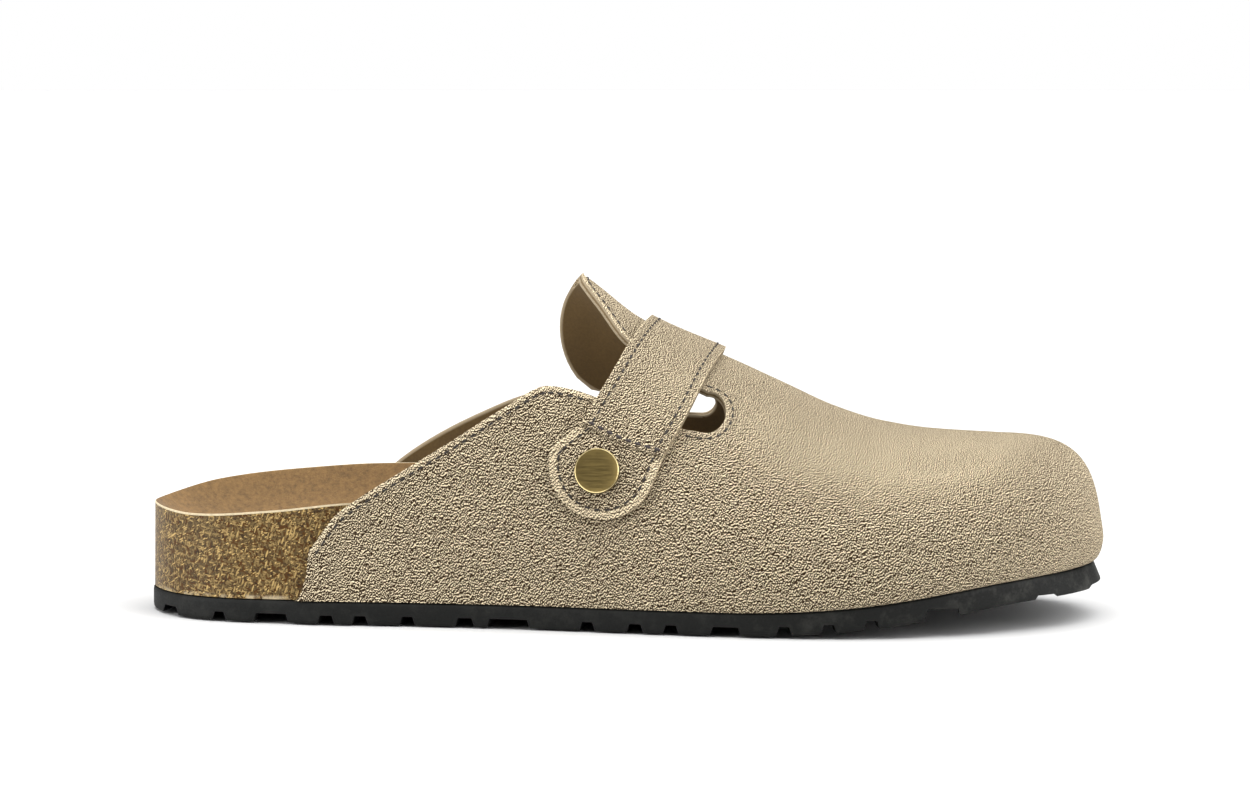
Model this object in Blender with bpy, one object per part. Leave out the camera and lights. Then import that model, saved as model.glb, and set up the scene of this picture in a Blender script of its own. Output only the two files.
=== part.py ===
"""Right clog with a suede upper on a cork footbed, standing empty on its sole.

Sizes are millimetres from the back of the heel: x runs to the toe, y to the inner side of the foot
and z up from the floor. Meshes are made in metres and hang from an empty that centres the shoe.
"""

import math
from collections import namedtuple

import bmesh
import bpy
import numpy as np
from mathutils import Vector

MM = 0.001

# Driving dimensions
FOOTBED_LENGTH = 274.7
BALL_WIDTH = 99.0
SOLE_THICKNESS = 6.6
TOE_SPRING = 9.4
WALL = 2.0
LINING = 1.4
GAP = 0.3
STRAP_THICKNESS = 2.2
TAB_SHARE = 0.7
STUD_DIAMETER = 13.0
STUD_HEIGHT = 2.2

LATERAL = -1
MEDIAL = 1

# The upper stands outside the footbed by a gap and its own wall
UPPER_STEP = GAP + WALL
# The outsole is flush with the cork at the heel and with the upper in front of it
HEEL_MARGIN = 0.4
HEEL_END = 40.0
UPPER_START = 56.0

# Footbed outline in plan: share of the footbed length, share of half the ball width
OutlinePoint = namedtuple("OutlinePoint", "along across")
OUTLINE = [
    OutlinePoint(0.000, 0.01),
    OutlinePoint(0.028, -0.38),
    OutlinePoint(0.085, -0.61),
    OutlinePoint(0.175, -0.695),
    OutlinePoint(0.300, -0.725),
    OutlinePoint(0.430, -0.805),
    OutlinePoint(0.560, -0.945),
    OutlinePoint(0.680, -1.035),
    OutlinePoint(0.785, -1.020),
    OutlinePoint(0.875, -0.865),
    OutlinePoint(0.945, -0.590),
    OutlinePoint(0.987, -0.230),
    OutlinePoint(1.000, 0.130),
    OutlinePoint(0.983, 0.490),
    OutlinePoint(0.935, 0.760),
    OutlinePoint(0.855, 0.915),
    OutlinePoint(0.755, 0.960),
    OutlinePoint(0.650, 0.900),
    OutlinePoint(0.520, 0.755),
    OutlinePoint(0.400, 0.675),
    OutlinePoint(0.280, 0.660),
    OutlinePoint(0.165, 0.670),
    OutlinePoint(0.085, 0.600),
    OutlinePoint(0.028, 0.385),
]

# Lift of the sole off the floor towards the toe, as a share of the toe spring
SpringPoint = namedtuple("SpringPoint", "x lift")
SPRING = [
    SpringPoint(0, 0.0),
    SpringPoint(172, 0.0),
    SpringPoint(190, 0.055),
    SpringPoint(205, 0.17),
    SpringPoint(220, 0.36),
    SpringPoint(235, 0.60),
    SpringPoint(250, 0.82),
    SpringPoint(265, 0.94),
    SpringPoint(285, 1.0),
]

# Footbed sections above the sole's top: rim heights on both sides, the floor along the middle, and
# how far the rim leans in over the foot of the side
FootbedSection = namedtuple("FootbedSection", "x rim_lateral rim_medial floor lean")
FOOTBED = [
    FootbedSection(0, 23.8, 23.8, 13.0, 0.3),
    FootbedSection(15, 22.7, 27.4, 12.6, 0.3),
    FootbedSection(40, 24.4, 30.1, 12.4, 0.6),
    FootbedSection(65, 27.0, 31.8, 13.0, 1.2),
    FootbedSection(95, 27.4, 32.2, 14.6, 1.4),
    FootbedSection(130, 22.5, 27.0, 15.2, 1.6),
    FootbedSection(165, 15.5, 17.5, 13.2, 1.2),
    FootbedSection(200, 12.6, 12.8, 10.4, 0.8),
    FootbedSection(240, 11.6, 11.6, 9.4, 0.5),
    FootbedSection(275, 11.4, 11.4, 9.4, 0.4),
]
HEEL_POLE = 36.0
CUP_POWER = 3.2

# Sections of the last: the ridge, how square each arch is, and how far its side swells past the sole
LastSection = namedtuple("LastSection", "x ridge_y ridge_z fullness swell")
LAST = [
    LastSection(30, 0.5, 114.0, 2.7, 0.0),
    LastSection(70, 1.5, 114.0, 2.6, 0.0),
    LastSection(100, 3.0, 112.0, 2.4, 0.1),
    LastSection(126.8, 4.0, 98.8, 2.2, 0.3),
    LastSection(144.5, 5.0, 85.6, 2.15, 0.5),
    LastSection(172.8, 6.0, 73.1, 2.15, 0.9),
    LastSection(187, 6.5, 66.5, 2.2, 1.2),
    LastSection(201, 7.0, 60.0, 2.3, 1.5),
    LastSection(215, 7.0, 55.6, 2.4, 1.8),
    LastSection(230, 6.6, 53.3, 2.5, 2.1),
    LastSection(250, 6.0, 52.2, 2.6, 2.5),
]
TOE_POLE = LAST[-1].x
TOE_FULLNESS = 2.9
TOE_SWELL = 3.0
# How far the front of the toe leans back between its widest line and the ridge
TOE_LEAN = 1.35
SWELL_HEIGHT = 7.5
SWELL_SHARE = 0.08

# Round front ends of the two side slits
SlitEnd = namedtuple("SlitEnd", "side x z radius")
LATERAL_SLIT = SlitEnd(LATERAL, 165.5, 61.6, 5.4)
MEDIAL_SLIT = SlitEnd(MEDIAL, 160.6, 59.6, 4.3)

# Quarter edges from the slit back to the sole: each row is a rib from the sole up to the cut edge
Rib = namedtuple("Rib", "foot_x edge_x edge_z")
LATERAL_EDGE = [
    Rib(165.5, 165.5, 56.2),
    Rib(158.0, 158.5, 57.4),
    Rib(147.0, 146.5, 61.9),
    Rib(138.5, 137.5, 64.6),
    Rib(131.0, 132.0, 66.7),
    Rib(124.0, 126.8, 68.2),
    Rib(116.0, 119.6, 69.1),
    Rib(102.0, 106.4, 62.0),
    Rib(88.0, 92.5, 53.1),
    Rib(74.5, 78.2, 44.3),
    Rib(63.0, 66.6, 37.0),
    Rib(56.5, 59.4, 31.7),
    Rib(52.3, 55.1, 26.1),
    Rib(47.4, 51.6, 21.2),
]
MEDIAL_EDGE = [
    Rib(160.6, 160.6, 55.3),
    Rib(153.0, 153.0, 55.6),
    Rib(144.0, 143.5, 56.7),
    Rib(136.0, 134.5, 58.2),
    Rib(129.0, 128.0, 59.9),
    Rib(121.0, 121.5, 61.9),
    Rib(113.0, 114.5, 62.5),
    Rib(102.0, 105.5, 60.2),
    Rib(90.0, 94.0, 55.4),
    Rib(76.5, 80.6, 48.6),
    Rib(65.0, 69.0, 40.9),
    Rib(57.0, 60.5, 33.0),
    Rib(52.3, 55.3, 26.6),
    Rib(47.4, 51.6, 21.2),
]

# Tongue rows from the vamp to its free end, between the two slits; bow pushes a row back at its middle
TongueRow = namedtuple("TongueRow", "lateral_x lateral_z medial_x medial_z bow")
TONGUE = [
    TongueRow(165.5, 67.0, 160.6, 63.9, 0.0),
    TongueRow(158.0, 70.4, 153.5, 63.1, 0.5),
    TongueRow(149.5, 75.6, 145.5, 62.5, 1.5),
    TongueRow(141.3, 81.7, 138.0, 62.1, 3.8),
    TongueRow(133.8, 90.9, 132.0, 62.2, 6.2),
    TongueRow(126.8, 98.8, 127.4, 63.0, 8.6),
]

# Strap rows from the rounded tab over the ridge to the inner side; a row with no height is on the ridge
StrapRow = namedtuple("StrapRow", "side rear_x rear_z front_x front_z")
STRAP = [
    StrapRow(LATERAL, 130.4, 58.3, 153.8, 49.2),
    StrapRow(LATERAL, 134.6, 66.0, 159.0, 58.6),
    StrapRow(LATERAL, 140.0, 76.0, 163.5, 67.8),
    StrapRow(LATERAL, 146.2, None, 168.2, None),
    StrapRow(MEDIAL, 141.5, 76.0, 163.5, 67.8),
    StrapRow(MEDIAL, 135.5, 66.0, 158.5, 58.6),
    StrapRow(MEDIAL, 129.5, 54.0, 153.0, 46.6),
    StrapRow(MEDIAL, 125.5, 45.0, 148.5, 37.6),
]
TAB_CENTRE = (136.6, 47.4)
TAB_RADIUS = 15.3
TAB_LEAN = math.radians(253)
TAB_TURNS = [84, 64, 44, 24, 4]
StrapEnds = namedtuple("StrapEnds", "rear_x rear_share front_x front_share")
STUD_PLACE = (135.5, 45.2)

# Tread: grooves across the sole
Groove = namedtuple("Groove", "x width depth", defaults=(2.5,))
GROOVES = [
    Groove(8.5, 3.4),
    Groove(23.6, 2.8),
    Groove(39.6, 9.0),
    Groove(56.4, 3.4),
    Groove(66.3, 3.2),
    Groove(80.1, 3.0),
    Groove(97, 4.0),
    Groove(109.8, 11.0),
    Groove(133.1, 2.8),
    Groove(146.5, 3.0),
    Groove(156.5, 2.8),
    Groove(171.7, 7.0),
    Groove(188, 2.8),
    Groove(200.5, 2.8),
    Groove(212.5, 3.0),
    Groove(233, 9.0),
    Groove(261.5, 5.0, 1.0),
    Groove(283, 13.0, 0.7),
]
GROOVE_FLARE = 1.0
GROOVE_WAVE = 2.0
GROOVE_PITCH = 34.0

# Straight bars that stand just proud of the tread, one under the heel and one under the ball
RestBar = namedtuple("RestBar", "x width lateral medial")
REST_BARS = [
    RestBar(31.1, 3.6, -22.0, 22.0),
    RestBar(162.2, 3.0, -36.0, 32.0),
]
REST_HEIGHT = 0.3

# The foot of the sole runs out past its top edge round the toe
TOE_FLARE = 2.6
FLARE_START = 254.0

# Mesh density
PLAN_STATIONS = 26
FAN_RIBS = 16
QUARTER_COLUMNS = 7
SLIT_COLUMNS = 4
TONGUE_COLUMNS = 12
ROW_STEPS = 2
VAMP_ROWS = 11
STRAP_COLUMNS = 6
STRAP_STEPS = 4


# Curves through tables

def hermite(xs, ys, x):
    """Smooth curve through the points (xs, ys), read at x; it keeps the end value outside them."""
    x = min(max(x, xs[0]), xs[-1])
    i = min(max(int(np.searchsorted(xs, x)) - 1, 0), len(xs) - 2)
    grades = np.diff(ys) / np.diff(xs)
    before, here, after = grades[max(i - 1, 0)], grades[i], grades[min(i + 1, len(grades) - 1)]
    start = 0.0 if before * here <= 0 else 2 * before * here / (before + here)
    end = 0.0 if here * after <= 0 else 2 * here * after / (here + after)
    span = xs[i + 1] - xs[i]
    t = (x - xs[i]) / span
    ends = (1 + 2 * t) * (1 - t) ** 2 * ys[i] + t * t * (3 - 2 * t) * ys[i + 1]
    pull = t * (1 - t) ** 2 * start - t * t * (1 - t) * end
    return float(ends + pull * span)


def column(table, name, x):
    """A column of a table of sections, read at x."""
    return hermite([row.x for row in table], [getattr(row, name) for row in table], x)


def smooth_rows(table, steps):
    """The table's rows with steps - 1 smooth rows put between each two."""
    values = np.array([list(row) for row in table], float)
    at = np.arange(len(values))
    reads = np.linspace(0, len(values) - 1, (len(values) - 1) * steps + 1)
    kind = type(table[0])
    return [kind(*(hermite(at, values[:, c], r) for c in range(values.shape[1]))) for r in reads]


def closed_curve(points, per_span=24):
    """A smooth closed curve through the points, as an array of points."""
    p = np.array(points, float)
    before, after, later = np.roll(p, 1, 0), np.roll(p, -1, 0), np.roll(p, -2, 0)
    t = np.linspace(0, 1, per_span, endpoint=False)[:, None, None]
    a = 2 * p
    b = (after - before) * t
    c = (2 * before - 5 * p + 4 * after - later) * t ** 2
    d = (3 * p - before - 3 * after + later) * t ** 3
    return ((a + b + c + d) / 2).transpose(1, 0, 2).reshape(-1, 2)


def offset_curve(curve, distance):
    """The closed curve moved outwards by a distance for each of its points."""
    along = np.roll(curve, -1, 0) - np.roll(curve, 1, 0)
    out = np.stack([along[:, 1], -along[:, 0]], 1)
    out /= np.linalg.norm(out, axis=1)[:, None]
    return curve + out * np.asarray(distance)[:, None]


# Plan of the shoe

FOOTBED_OUTLINE = closed_curve(
    [(p.along * FOOTBED_LENGTH, p.across * BALL_WIDTH / 2) for p in OUTLINE]
)
# The outline runs from the heel along the outer side, so outwards is on its right
UPPER_OUTLINE = offset_curve(FOOTBED_OUTLINE, np.full(len(FOOTBED_OUTLINE), UPPER_STEP))


def sole_margin(x):
    """How far the sole reaches past the footbed."""
    share = min(max((x - HEEL_END) / (UPPER_START - HEEL_END), 0.0), 1.0)
    return HEEL_MARGIN + (UPPER_STEP - HEEL_MARGIN) * share * share * (3 - 2 * share)


SOLE_OUTLINE = offset_curve(
    FOOTBED_OUTLINE, np.array([sole_margin(x) for x in FOOTBED_OUTLINE[:, 0]])
)


def ridge_y(x):
    return column(LAST, "ridge_y", x)


def side_y(outline, side, x):
    """The y of an outline on one side of the shoe, at x."""
    mine = outline[np.sign(outline[:, 1] - 0.02 * outline[:, 0]) == side]
    mine = mine[np.argsort(mine[:, 0])]
    return float(np.interp(x, mine[:, 0], mine[:, 1]))


def fan_point(outline, pole, angle):
    """Where a ray from the pole meets the outline; the angle runs from the +x axis towards +y."""
    rays = outline - np.array(pole)
    angles = np.arctan2(rays[:, 1], rays[:, 0])
    turned = (angles - angle + math.pi) % (2 * math.pi) - math.pi
    near = np.argsort(np.abs(turned))[:12]
    near = near[np.argsort(turned[near])]
    reach = np.interp(0.0, turned[near], np.linalg.norm(rays[near], axis=1))
    return pole[0] + reach * math.cos(angle), pole[1] + reach * math.sin(angle)


def plan_ribs(outline):
    """Ribs all round an outline as (rim x, rim y, middle x, middle y), from the outer side of the heel."""
    stations = np.linspace(HEEL_POLE, TOE_POLE, PLAN_STATIONS)
    heel, toe = (HEEL_POLE, ridge_y(HEEL_POLE)), (TOE_POLE, ridge_y(TOE_POLE))
    turns = np.linspace(-math.pi / 2, math.pi / 2, FAN_RIBS + 1)[1:-1]
    ribs = [(x, side_y(outline, LATERAL, x), x, ridge_y(x)) for x in stations]
    ribs += [(*fan_point(outline, toe, turn), *toe) for turn in turns]
    ribs += [(x, side_y(outline, MEDIAL, x), x, ridge_y(x)) for x in stations[::-1]]
    ribs += [(*fan_point(outline, heel, math.pi + turn), *heel) for turn in turns]
    return ribs


def sole_top(x):
    return SOLE_THICKNESS + TOE_SPRING * column(SPRING, "lift", x)


def tread_foot(x):
    """Height of the tread's underside over the floor."""
    return sole_top(x) - SOLE_THICKNESS + REST_HEIGHT


def toe_flare(x):
    """How far the foot of the sole stands out past its top edge."""
    share = min(max((x - FLARE_START) / (FOOTBED_LENGTH - FLARE_START), 0.0), 1.0)
    return TOE_FLARE * share * share * (3 - 2 * share)


# Upper, as one surface over the last

def arch(reach, height, fullness, swell, share):
    """A rib of the last at a share from the ridge (0) to the sole (1): distance out and height."""
    widest = 1 - SWELL_SHARE
    if share > widest:
        turn = (share - widest) / SWELL_SHARE * math.pi / 2
        return reach + swell * math.cos(turn), SWELL_HEIGHT * (1 - math.sin(turn))
    turn = (1 - share / widest) * math.pi / 2
    out = (reach + swell) * max(math.cos(turn), 0.0) ** (2 / fullness)
    return out, SWELL_HEIGHT + (height - SWELL_HEIGHT) * math.sin(turn) ** (2 / fullness)


def arch_share(side, x, z):
    """The share at which the rib at x has the height z, with the sign of the side."""
    foot, height = sole_top(x) + GAP, column(LAST, "ridge_z", x) - sole_top(x) - GAP
    rise = min((z - foot - SWELL_HEIGHT) / (height - SWELL_HEIGHT), 1.0)
    turn = math.asin(max(rise, 0.0) ** (column(LAST, "fullness", x) / 2))
    return side * (1 - SWELL_SHARE) * (1 - turn / (math.pi / 2))


def last_point(x, share):
    """A point of the upper's outside: share runs from -1 at the outer sole edge over 0 to 1."""
    side = LATERAL if share < 0 else MEDIAL
    middle, foot = ridge_y(x), sole_top(x) + GAP
    reach = abs(side_y(UPPER_OUTLINE, side, x) - middle)
    height = column(LAST, "ridge_z", x) - foot
    fullness, swell = column(LAST, "fullness", x), column(LAST, "swell", x)
    out, up = arch(reach, height, fullness, swell, abs(share))
    return Vector((x, middle + side * out, foot + up))


def toe_point(angle, share):
    """A point of the toe, on the rib that leaves the end of the ridge at an angle to the +x axis."""
    pole = (TOE_POLE, ridge_y(TOE_POLE))
    x, y = fan_point(UPPER_OUTLINE, pole, angle)
    reach = math.hypot(x - pole[0], y - pole[1])
    foot = sole_top(x) + GAP
    ahead = math.cos(angle)
    fullness = LAST[-1].fullness + (TOE_FULLNESS - LAST[-1].fullness) * ahead
    swell = LAST[-1].swell + (TOE_SWELL - LAST[-1].swell) * ahead
    height = LAST[-1].ridge_z - foot
    out, up = arch(reach, height, fullness, swell, share)
    rise = max(up - SWELL_HEIGHT, 0.0) / (height - SWELL_HEIGHT)
    out -= TOE_LEAN * ahead * 4 * rise * (1 - rise)
    return Vector((pole[0] + out * math.cos(angle), pole[1] + out * math.sin(angle), foot + up))


def last_normal(x, share):
    """Outward direction of the upper at a point."""
    step_x, step_share = 0.5, 0.01
    along = last_point(x + step_x, share) - last_point(x - step_x, share)
    low, high = max(share - step_share, -1), min(share + step_share, 1)
    return along.cross(last_point(x, high) - last_point(x, low)).normalized()


# Mesh helpers

def material(name, colour, roughness, metallic=0.0):
    made = bpy.data.materials.new(name)
    made.use_nodes = True
    shader = made.node_tree.nodes["Principled BSDF"]
    shader.inputs["Base Color"].default_value = (*colour, 1.0)
    shader.inputs["Roughness"].default_value = roughness
    shader.inputs["Metallic"].default_value = metallic
    return made


def object_of(name, bm, finish):
    """A named object, in metres, from a bmesh in millimetres; an open sheet is turned to face up."""
    bmesh.ops.remove_doubles(bm, verts=bm.verts, dist=0.01)
    bmesh.ops.recalc_face_normals(bm, faces=bm.faces)
    upward = sum(face.normal.z * face.calc_area() for face in bm.faces)
    if any(edge.is_boundary for edge in bm.edges) and upward < 0:
        bmesh.ops.reverse_faces(bm, faces=bm.faces)
    bmesh.ops.scale(bm, vec=(MM, MM, MM), verts=bm.verts)
    mesh = bpy.data.meshes.new(name)
    bm.to_mesh(mesh)
    bm.free()
    mesh.shade_smooth()
    mesh.set_sharp_from_angle(angle=math.radians(40))
    if finish:
        mesh.materials.append(finish)
    made = bpy.data.objects.new(name, mesh)
    bpy.context.scene.collection.objects.link(made)
    return made


def add_patch(bm, rows, closed=False):
    """Faces between neighbouring rows of points, and from the last row to the first if closed."""
    grid = [[bm.verts.new(p) for p in row] for row in rows]
    for a, b in zip(grid, grid[1:] + grid[:1] if closed else grid[1:]):
        for i in range(len(a) - 1):
            bm.faces.new((a[i], a[i + 1], b[i + 1], b[i]))


def add_wall(made, thickness, offset):
    """Gives a sheet its thickness: offset 1 grows outwards, -1 inwards."""
    wall = made.modifiers.new("Wall", "SOLIDIFY")
    wall.thickness = thickness * MM
    wall.offset = offset
    wall.use_even_offset = True
    return wall


# Pieces

def make_outsole(finish):
    """Moulded sole with toe spring and a tread of waved grooves."""
    bm = bmesh.new()
    rows = []
    for x, y, middle_x, middle_y in plan_ribs(SOLE_OUTLINE):
        top = [Vector((middle_x, middle_y, sole_top(middle_x))), Vector((x, y, sole_top(x)))]
        out = Vector((x - middle_x, y - middle_y, 0)).normalized() * toe_flare(x)
        rim = Vector((x, y, tread_foot(x))) + out
        rows.append(top + [rim, Vector((middle_x, middle_y, tread_foot(middle_x)))])
    add_patch(bm, rows, closed=True)
    sole = object_of("outsole", bm, finish)
    for name, operation, helper in (
        ("Tread", "DIFFERENCE", make_grooves()),
        ("Rest", "UNION", make_rest_bars()),
    ):
        change = sole.modifiers.new(name, "BOOLEAN")
        change.operation = operation
        change.solver = "EXACT"
        change.object = helper
    return sole


def as_helper(made):
    """Hides an object that only shapes another one."""
    made.hide_render = True
    made.display_type = "WIRE"
    return made


def make_rest_bars():
    """The bars that the shoe stands on, sunk into the lugs that carry them."""
    bm = bmesh.new()
    for bar in REST_BARS:
        size = Vector((bar.width, bar.medial - bar.lateral, REST_HEIGHT + 1.0))
        middle = Vector((bar.x, (bar.medial + bar.lateral) / 2, size.z / 2))
        verts = bmesh.ops.create_cube(bm, size=1.0)["verts"]
        bmesh.ops.scale(bm, vec=size, verts=verts)
        bmesh.ops.translate(bm, vec=middle, verts=verts)
    return as_helper(object_of("rest_bars", bm, None))


def make_grooves():
    """All grooves as one set of waved bars, flared towards the floor."""
    bm = bmesh.new()
    reach = 0.75 * BALL_WIDTH
    steps = 2 * math.ceil(2 * reach / GROOVE_PITCH)
    for groove in GROOVES:
        top = tread_foot(groove.x) + groove.depth
        foot = tread_foot(groove.x - groove.width) - groove.depth - 1
        rows = []
        for i in range(steps + 1):
            y = -reach + 2 * reach * i / steps
            middle = groove.x + GROOVE_WAVE * (0.5 if i % 2 else -0.5)
            near, far = groove.width / 2, groove.width / 2 + GROOVE_FLARE * 2
            ring = [(-near, top), (near, top), (far, foot), (-far, foot), (-near, top)]
            rows.append([Vector((middle + dx, y, z)) for dx, z in ring])
        add_patch(bm, rows)
        for row in (rows[0], rows[-1]):
            bm.faces.new([bm.verts.new(p) for p in row[:-1]])
    return as_helper(object_of("tread_grooves", bm, None))


def footbed_height(x, y, share):
    """Top of the cork at a share from the middle line (0) to the rim (1) of a rib that ends at x, y."""
    side = "rim_medial" if y > ridge_y(x) else "rim_lateral"
    low, high = column(FOOTBED, "floor", x), column(FOOTBED, side, x)
    return low + (high - low) * share ** CUP_POWER


def footbed_row(rib, shares, lift):
    """Points of the footbed's top along a rib, at shares from the rim (1) to the middle line (0)."""
    x, y, middle_x, middle_y = rib
    middle_height = footbed_height(middle_x, middle_y, 0.0)
    floor_rim = footbed_height(x, y, 0.0)
    inset = 1 - column(FOOTBED, "lean", x) / math.hypot(x - middle_x, y - middle_y)
    row = []
    for share in shares:
        px = middle_x + (x - middle_x) * share * inset
        py = middle_y + (y - middle_y) * share * inset
        floor = middle_height + (floor_rim - middle_height) * share
        rise = footbed_height(x, y, share) - floor_rim
        row.append(Vector((px, py, sole_top(px) + floor + rise + lift)))
    return row


CUP_SHARES = [1.0, 0.93, 0.8, 0.6, 0.3, 0.0]


def make_footbed(finish):
    """Cork footbed: upright side, cupped heel, raised arch and flat forefoot."""
    bm = bmesh.new()
    rows = []
    for rib in plan_ribs(FOOTBED_OUTLINE):
        x, y, middle_x, middle_y = rib
        under = [
            Vector((middle_x, middle_y, sole_top(middle_x) + GAP)),
            Vector((x, y, sole_top(x) + GAP)),
        ]
        rows.append(under + footbed_row(rib, CUP_SHARES, 0.0))
    add_patch(bm, rows, closed=True)
    bmesh.ops.triangulate(bm, faces=bm.faces, quad_method="SHORT_EDGE")
    return object_of("cork_footbed", bm, finish)


def make_lining(finish):
    """Suede sheet that lines the footbed, cut flush with the rim."""
    bm = bmesh.new()
    rows = [footbed_row(rib, CUP_SHARES, GAP) for rib in plan_ribs(FOOTBED_OUTLINE)]
    raised = [[p + Vector((0, 0, LINING)) for p in row] for row in rows]
    add_patch(bm, [low[::-1] + high for low, high in zip(rows, raised)], closed=True)
    bmesh.ops.triangulate(bm, faces=bm.faces, quad_method="SHORT_EDGE")
    return object_of("footbed_lining", bm, finish)


def slit_front(slit):
    """The slit's round front end from its lower to its upper edge, as (x, share) pairs."""
    turns = np.linspace(-math.pi / 2, math.pi / 2, SLIT_COLUMNS + 1)
    places = [
        (slit.x + slit.radius * math.cos(t), slit.z + slit.radius * math.sin(t)) for t in turns
    ]
    return [(x, arch_share(slit.side, x, z)) for x, z in places]


def between(start, end, count):
    """Pairs evenly spaced from start to end, both included."""
    return [tuple(pair) for pair in np.linspace(start, end, count + 1)]


def quarter_rows(edge, side):
    """Rows of a quarter, each from the sole up to its cut edge, as (x, share) pairs."""
    rows = []
    for rib in smooth_rows(edge, ROW_STEPS):
        top = (rib.edge_x, arch_share(side, rib.edge_x, rib.edge_z))
        rows.append(between((rib.foot_x, side), top, QUARTER_COLUMNS))
    return rows


def tongue_bow(along):
    """How far the tongue's free end is bowed at a share of its width, with 1 at the most."""
    return 3.84 * along**2 * max(1 - along, 0.0) ** 0.56


def tongue_rows():
    """Rows of the tongue, each from its outer to its inner edge, as (x, share) pairs."""
    rows = []
    for row in smooth_rows(TONGUE, ROW_STEPS + 1):
        start = (row.lateral_x, arch_share(LATERAL, row.lateral_x, row.lateral_z))
        end = (row.medial_x, arch_share(MEDIAL, row.medial_x, row.medial_z))
        pairs = between(start, end, TONGUE_COLUMNS)
        bowed = []
        for i, (x, share) in enumerate(pairs):
            along = i / TONGUE_COLUMNS
            bowed.append((x - row.bow * tongue_bow(along), share))
        rows.append(bowed)
    return rows


def vamp_rows(first):
    """Rows from the front of the slits to the end of the ridge, where the columns lie evenly."""
    last = between((TOE_POLE, -1.0), (TOE_POLE, 1.0), len(first) - 1)
    return np.linspace(first, last, VAMP_ROWS + 1)


def make_upper(finish):
    """Suede upper in one wall: vamp and toe, tongue, and a quarter on each side."""
    outer, inner = quarter_rows(LATERAL_EDGE, LATERAL), quarter_rows(MEDIAL_EDGE, MEDIAL)
    tongue = tongue_rows()
    junction = outer[0][:-1] + slit_front(LATERAL_SLIT)[:-1] + tongue[0]
    junction += slit_front(MEDIAL_SLIT)[::-1][1:] + inner[0][::-1][1:]
    bm = bmesh.new()
    for rows in (outer, inner, tongue, vamp_rows(junction)):
        add_patch(bm, [[last_point(x, share) for x, share in row] for row in rows])
    half = (len(junction) - 1) // 2
    turns = np.linspace(-math.pi / 2, math.pi / 2, FAN_RIBS + 1)
    add_patch(bm, [[toe_point(turn, i / half) for i in range(half + 1)] for turn in turns])
    upper = object_of("upper", bm, finish)
    add_wall(upper, WALL, -1)
    return upper


def tab_rows():
    """Rows of the rounded tab from its tip up to the seam, in the form of strap rows."""
    lean = Vector((math.cos(TAB_LEAN), math.sin(TAB_LEAN)))
    across = Vector((-lean.y, lean.x))
    rows = []
    for turn in np.radians(TAB_TURNS):
        middle = Vector(TAB_CENTRE) + lean * TAB_RADIUS * math.sin(turn)
        half = across * TAB_RADIUS * math.cos(turn)
        rows.append(StrapRow(LATERAL, *(middle - half), *(middle + half)))
    return rows


def strap_pairs():
    """Rows of the strap from the tip of its tab, as (x, share) pairs across its width."""
    ends = []
    for row in tab_rows() + STRAP:
        rear_z, front_z = (z if z else 1000.0 for z in (row.rear_z, row.front_z))
        rear = arch_share(row.side, row.rear_x, rear_z)
        front = arch_share(row.side, row.front_x, front_z)
        ends.append(StrapEnds(row.rear_x, rear, row.front_x, front))
    return [between(row[:2], row[2:], STRAP_COLUMNS) for row in smooth_rows(ends, STRAP_STEPS)]


def make_strap(finish):
    """Strap over the instep, thinner at the rounded tab that carries the stud."""
    bm = bmesh.new()
    rows = [
        [last_point(x, share) + last_normal(x, share) * GAP for x, share in row]
        for row in strap_pairs()
    ]
    add_patch(bm, rows)
    strap = object_of("instep_strap", bm, finish)
    tab_vertices = (len(TAB_TURNS) * STRAP_STEPS - 1) * (STRAP_COLUMNS + 1)
    share = strap.vertex_groups.new(name="thickness")
    share.add(range(tab_vertices), TAB_SHARE, "REPLACE")
    share.add(range(tab_vertices, len(strap.data.vertices)), 1.0, "REPLACE")
    add_wall(strap, STRAP_THICKNESS, 1).vertex_group = share.name
    return strap


def make_stud(finish):
    """Round cap with a raised rim, turned about the stud's axis and set on the tab."""
    radius, height = STUD_DIAMETER / 2, STUD_HEIGHT
    profile = [
        (0, height * 0.72),
        (radius * 0.86, height * 0.72),
        (radius * 0.90, height),
        (radius * 0.97, height * 0.9),
        (radius, height * 0.55),
        (radius * 0.96, 0),
        (0, 0),
    ]
    bm = bmesh.new()
    turns = 28
    rows = []
    for i in range(turns):
        turn = 2 * math.pi * i / turns
        rows.append([Vector((r * math.cos(turn), r * math.sin(turn), z)) for r, z in profile])
    add_patch(bm, rows, closed=True)
    stud = object_of("strap_stud", bm, finish)
    x, z = STUD_PLACE
    share = arch_share(LATERAL, x, z)
    out = last_normal(x, share)
    stud.location = (last_point(x, share) + out * (GAP * 2.5 + STRAP_THICKNESS * TAB_SHARE)) * MM
    stud.rotation_euler = out.to_track_quat("Z", "Y").to_euler()
    return stud


def centre(pieces):
    """Hangs the pieces from an empty that brings the middle of their box over the origin."""
    bpy.context.view_layer.update()
    graph = bpy.context.evaluated_depsgraph_get()
    corners = []
    for piece in pieces:
        read = piece.evaluated_get(graph)
        corners += [read.matrix_world @ Vector(c) for c in read.bound_box]
    low = [min(c[i] for c in corners) for i in range(3)]
    high = [max(c[i] for c in corners) for i in range(3)]
    shoe = bpy.data.objects.new("shoe", None)
    bpy.context.scene.collection.objects.link(shoe)
    shoe.location = (-(low[0] + high[0]) / 2, -(low[1] + high[1]) / 2, -low[2])
    for piece in bpy.context.scene.objects:
        if piece is not shoe:
            piece.parent = shoe


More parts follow.
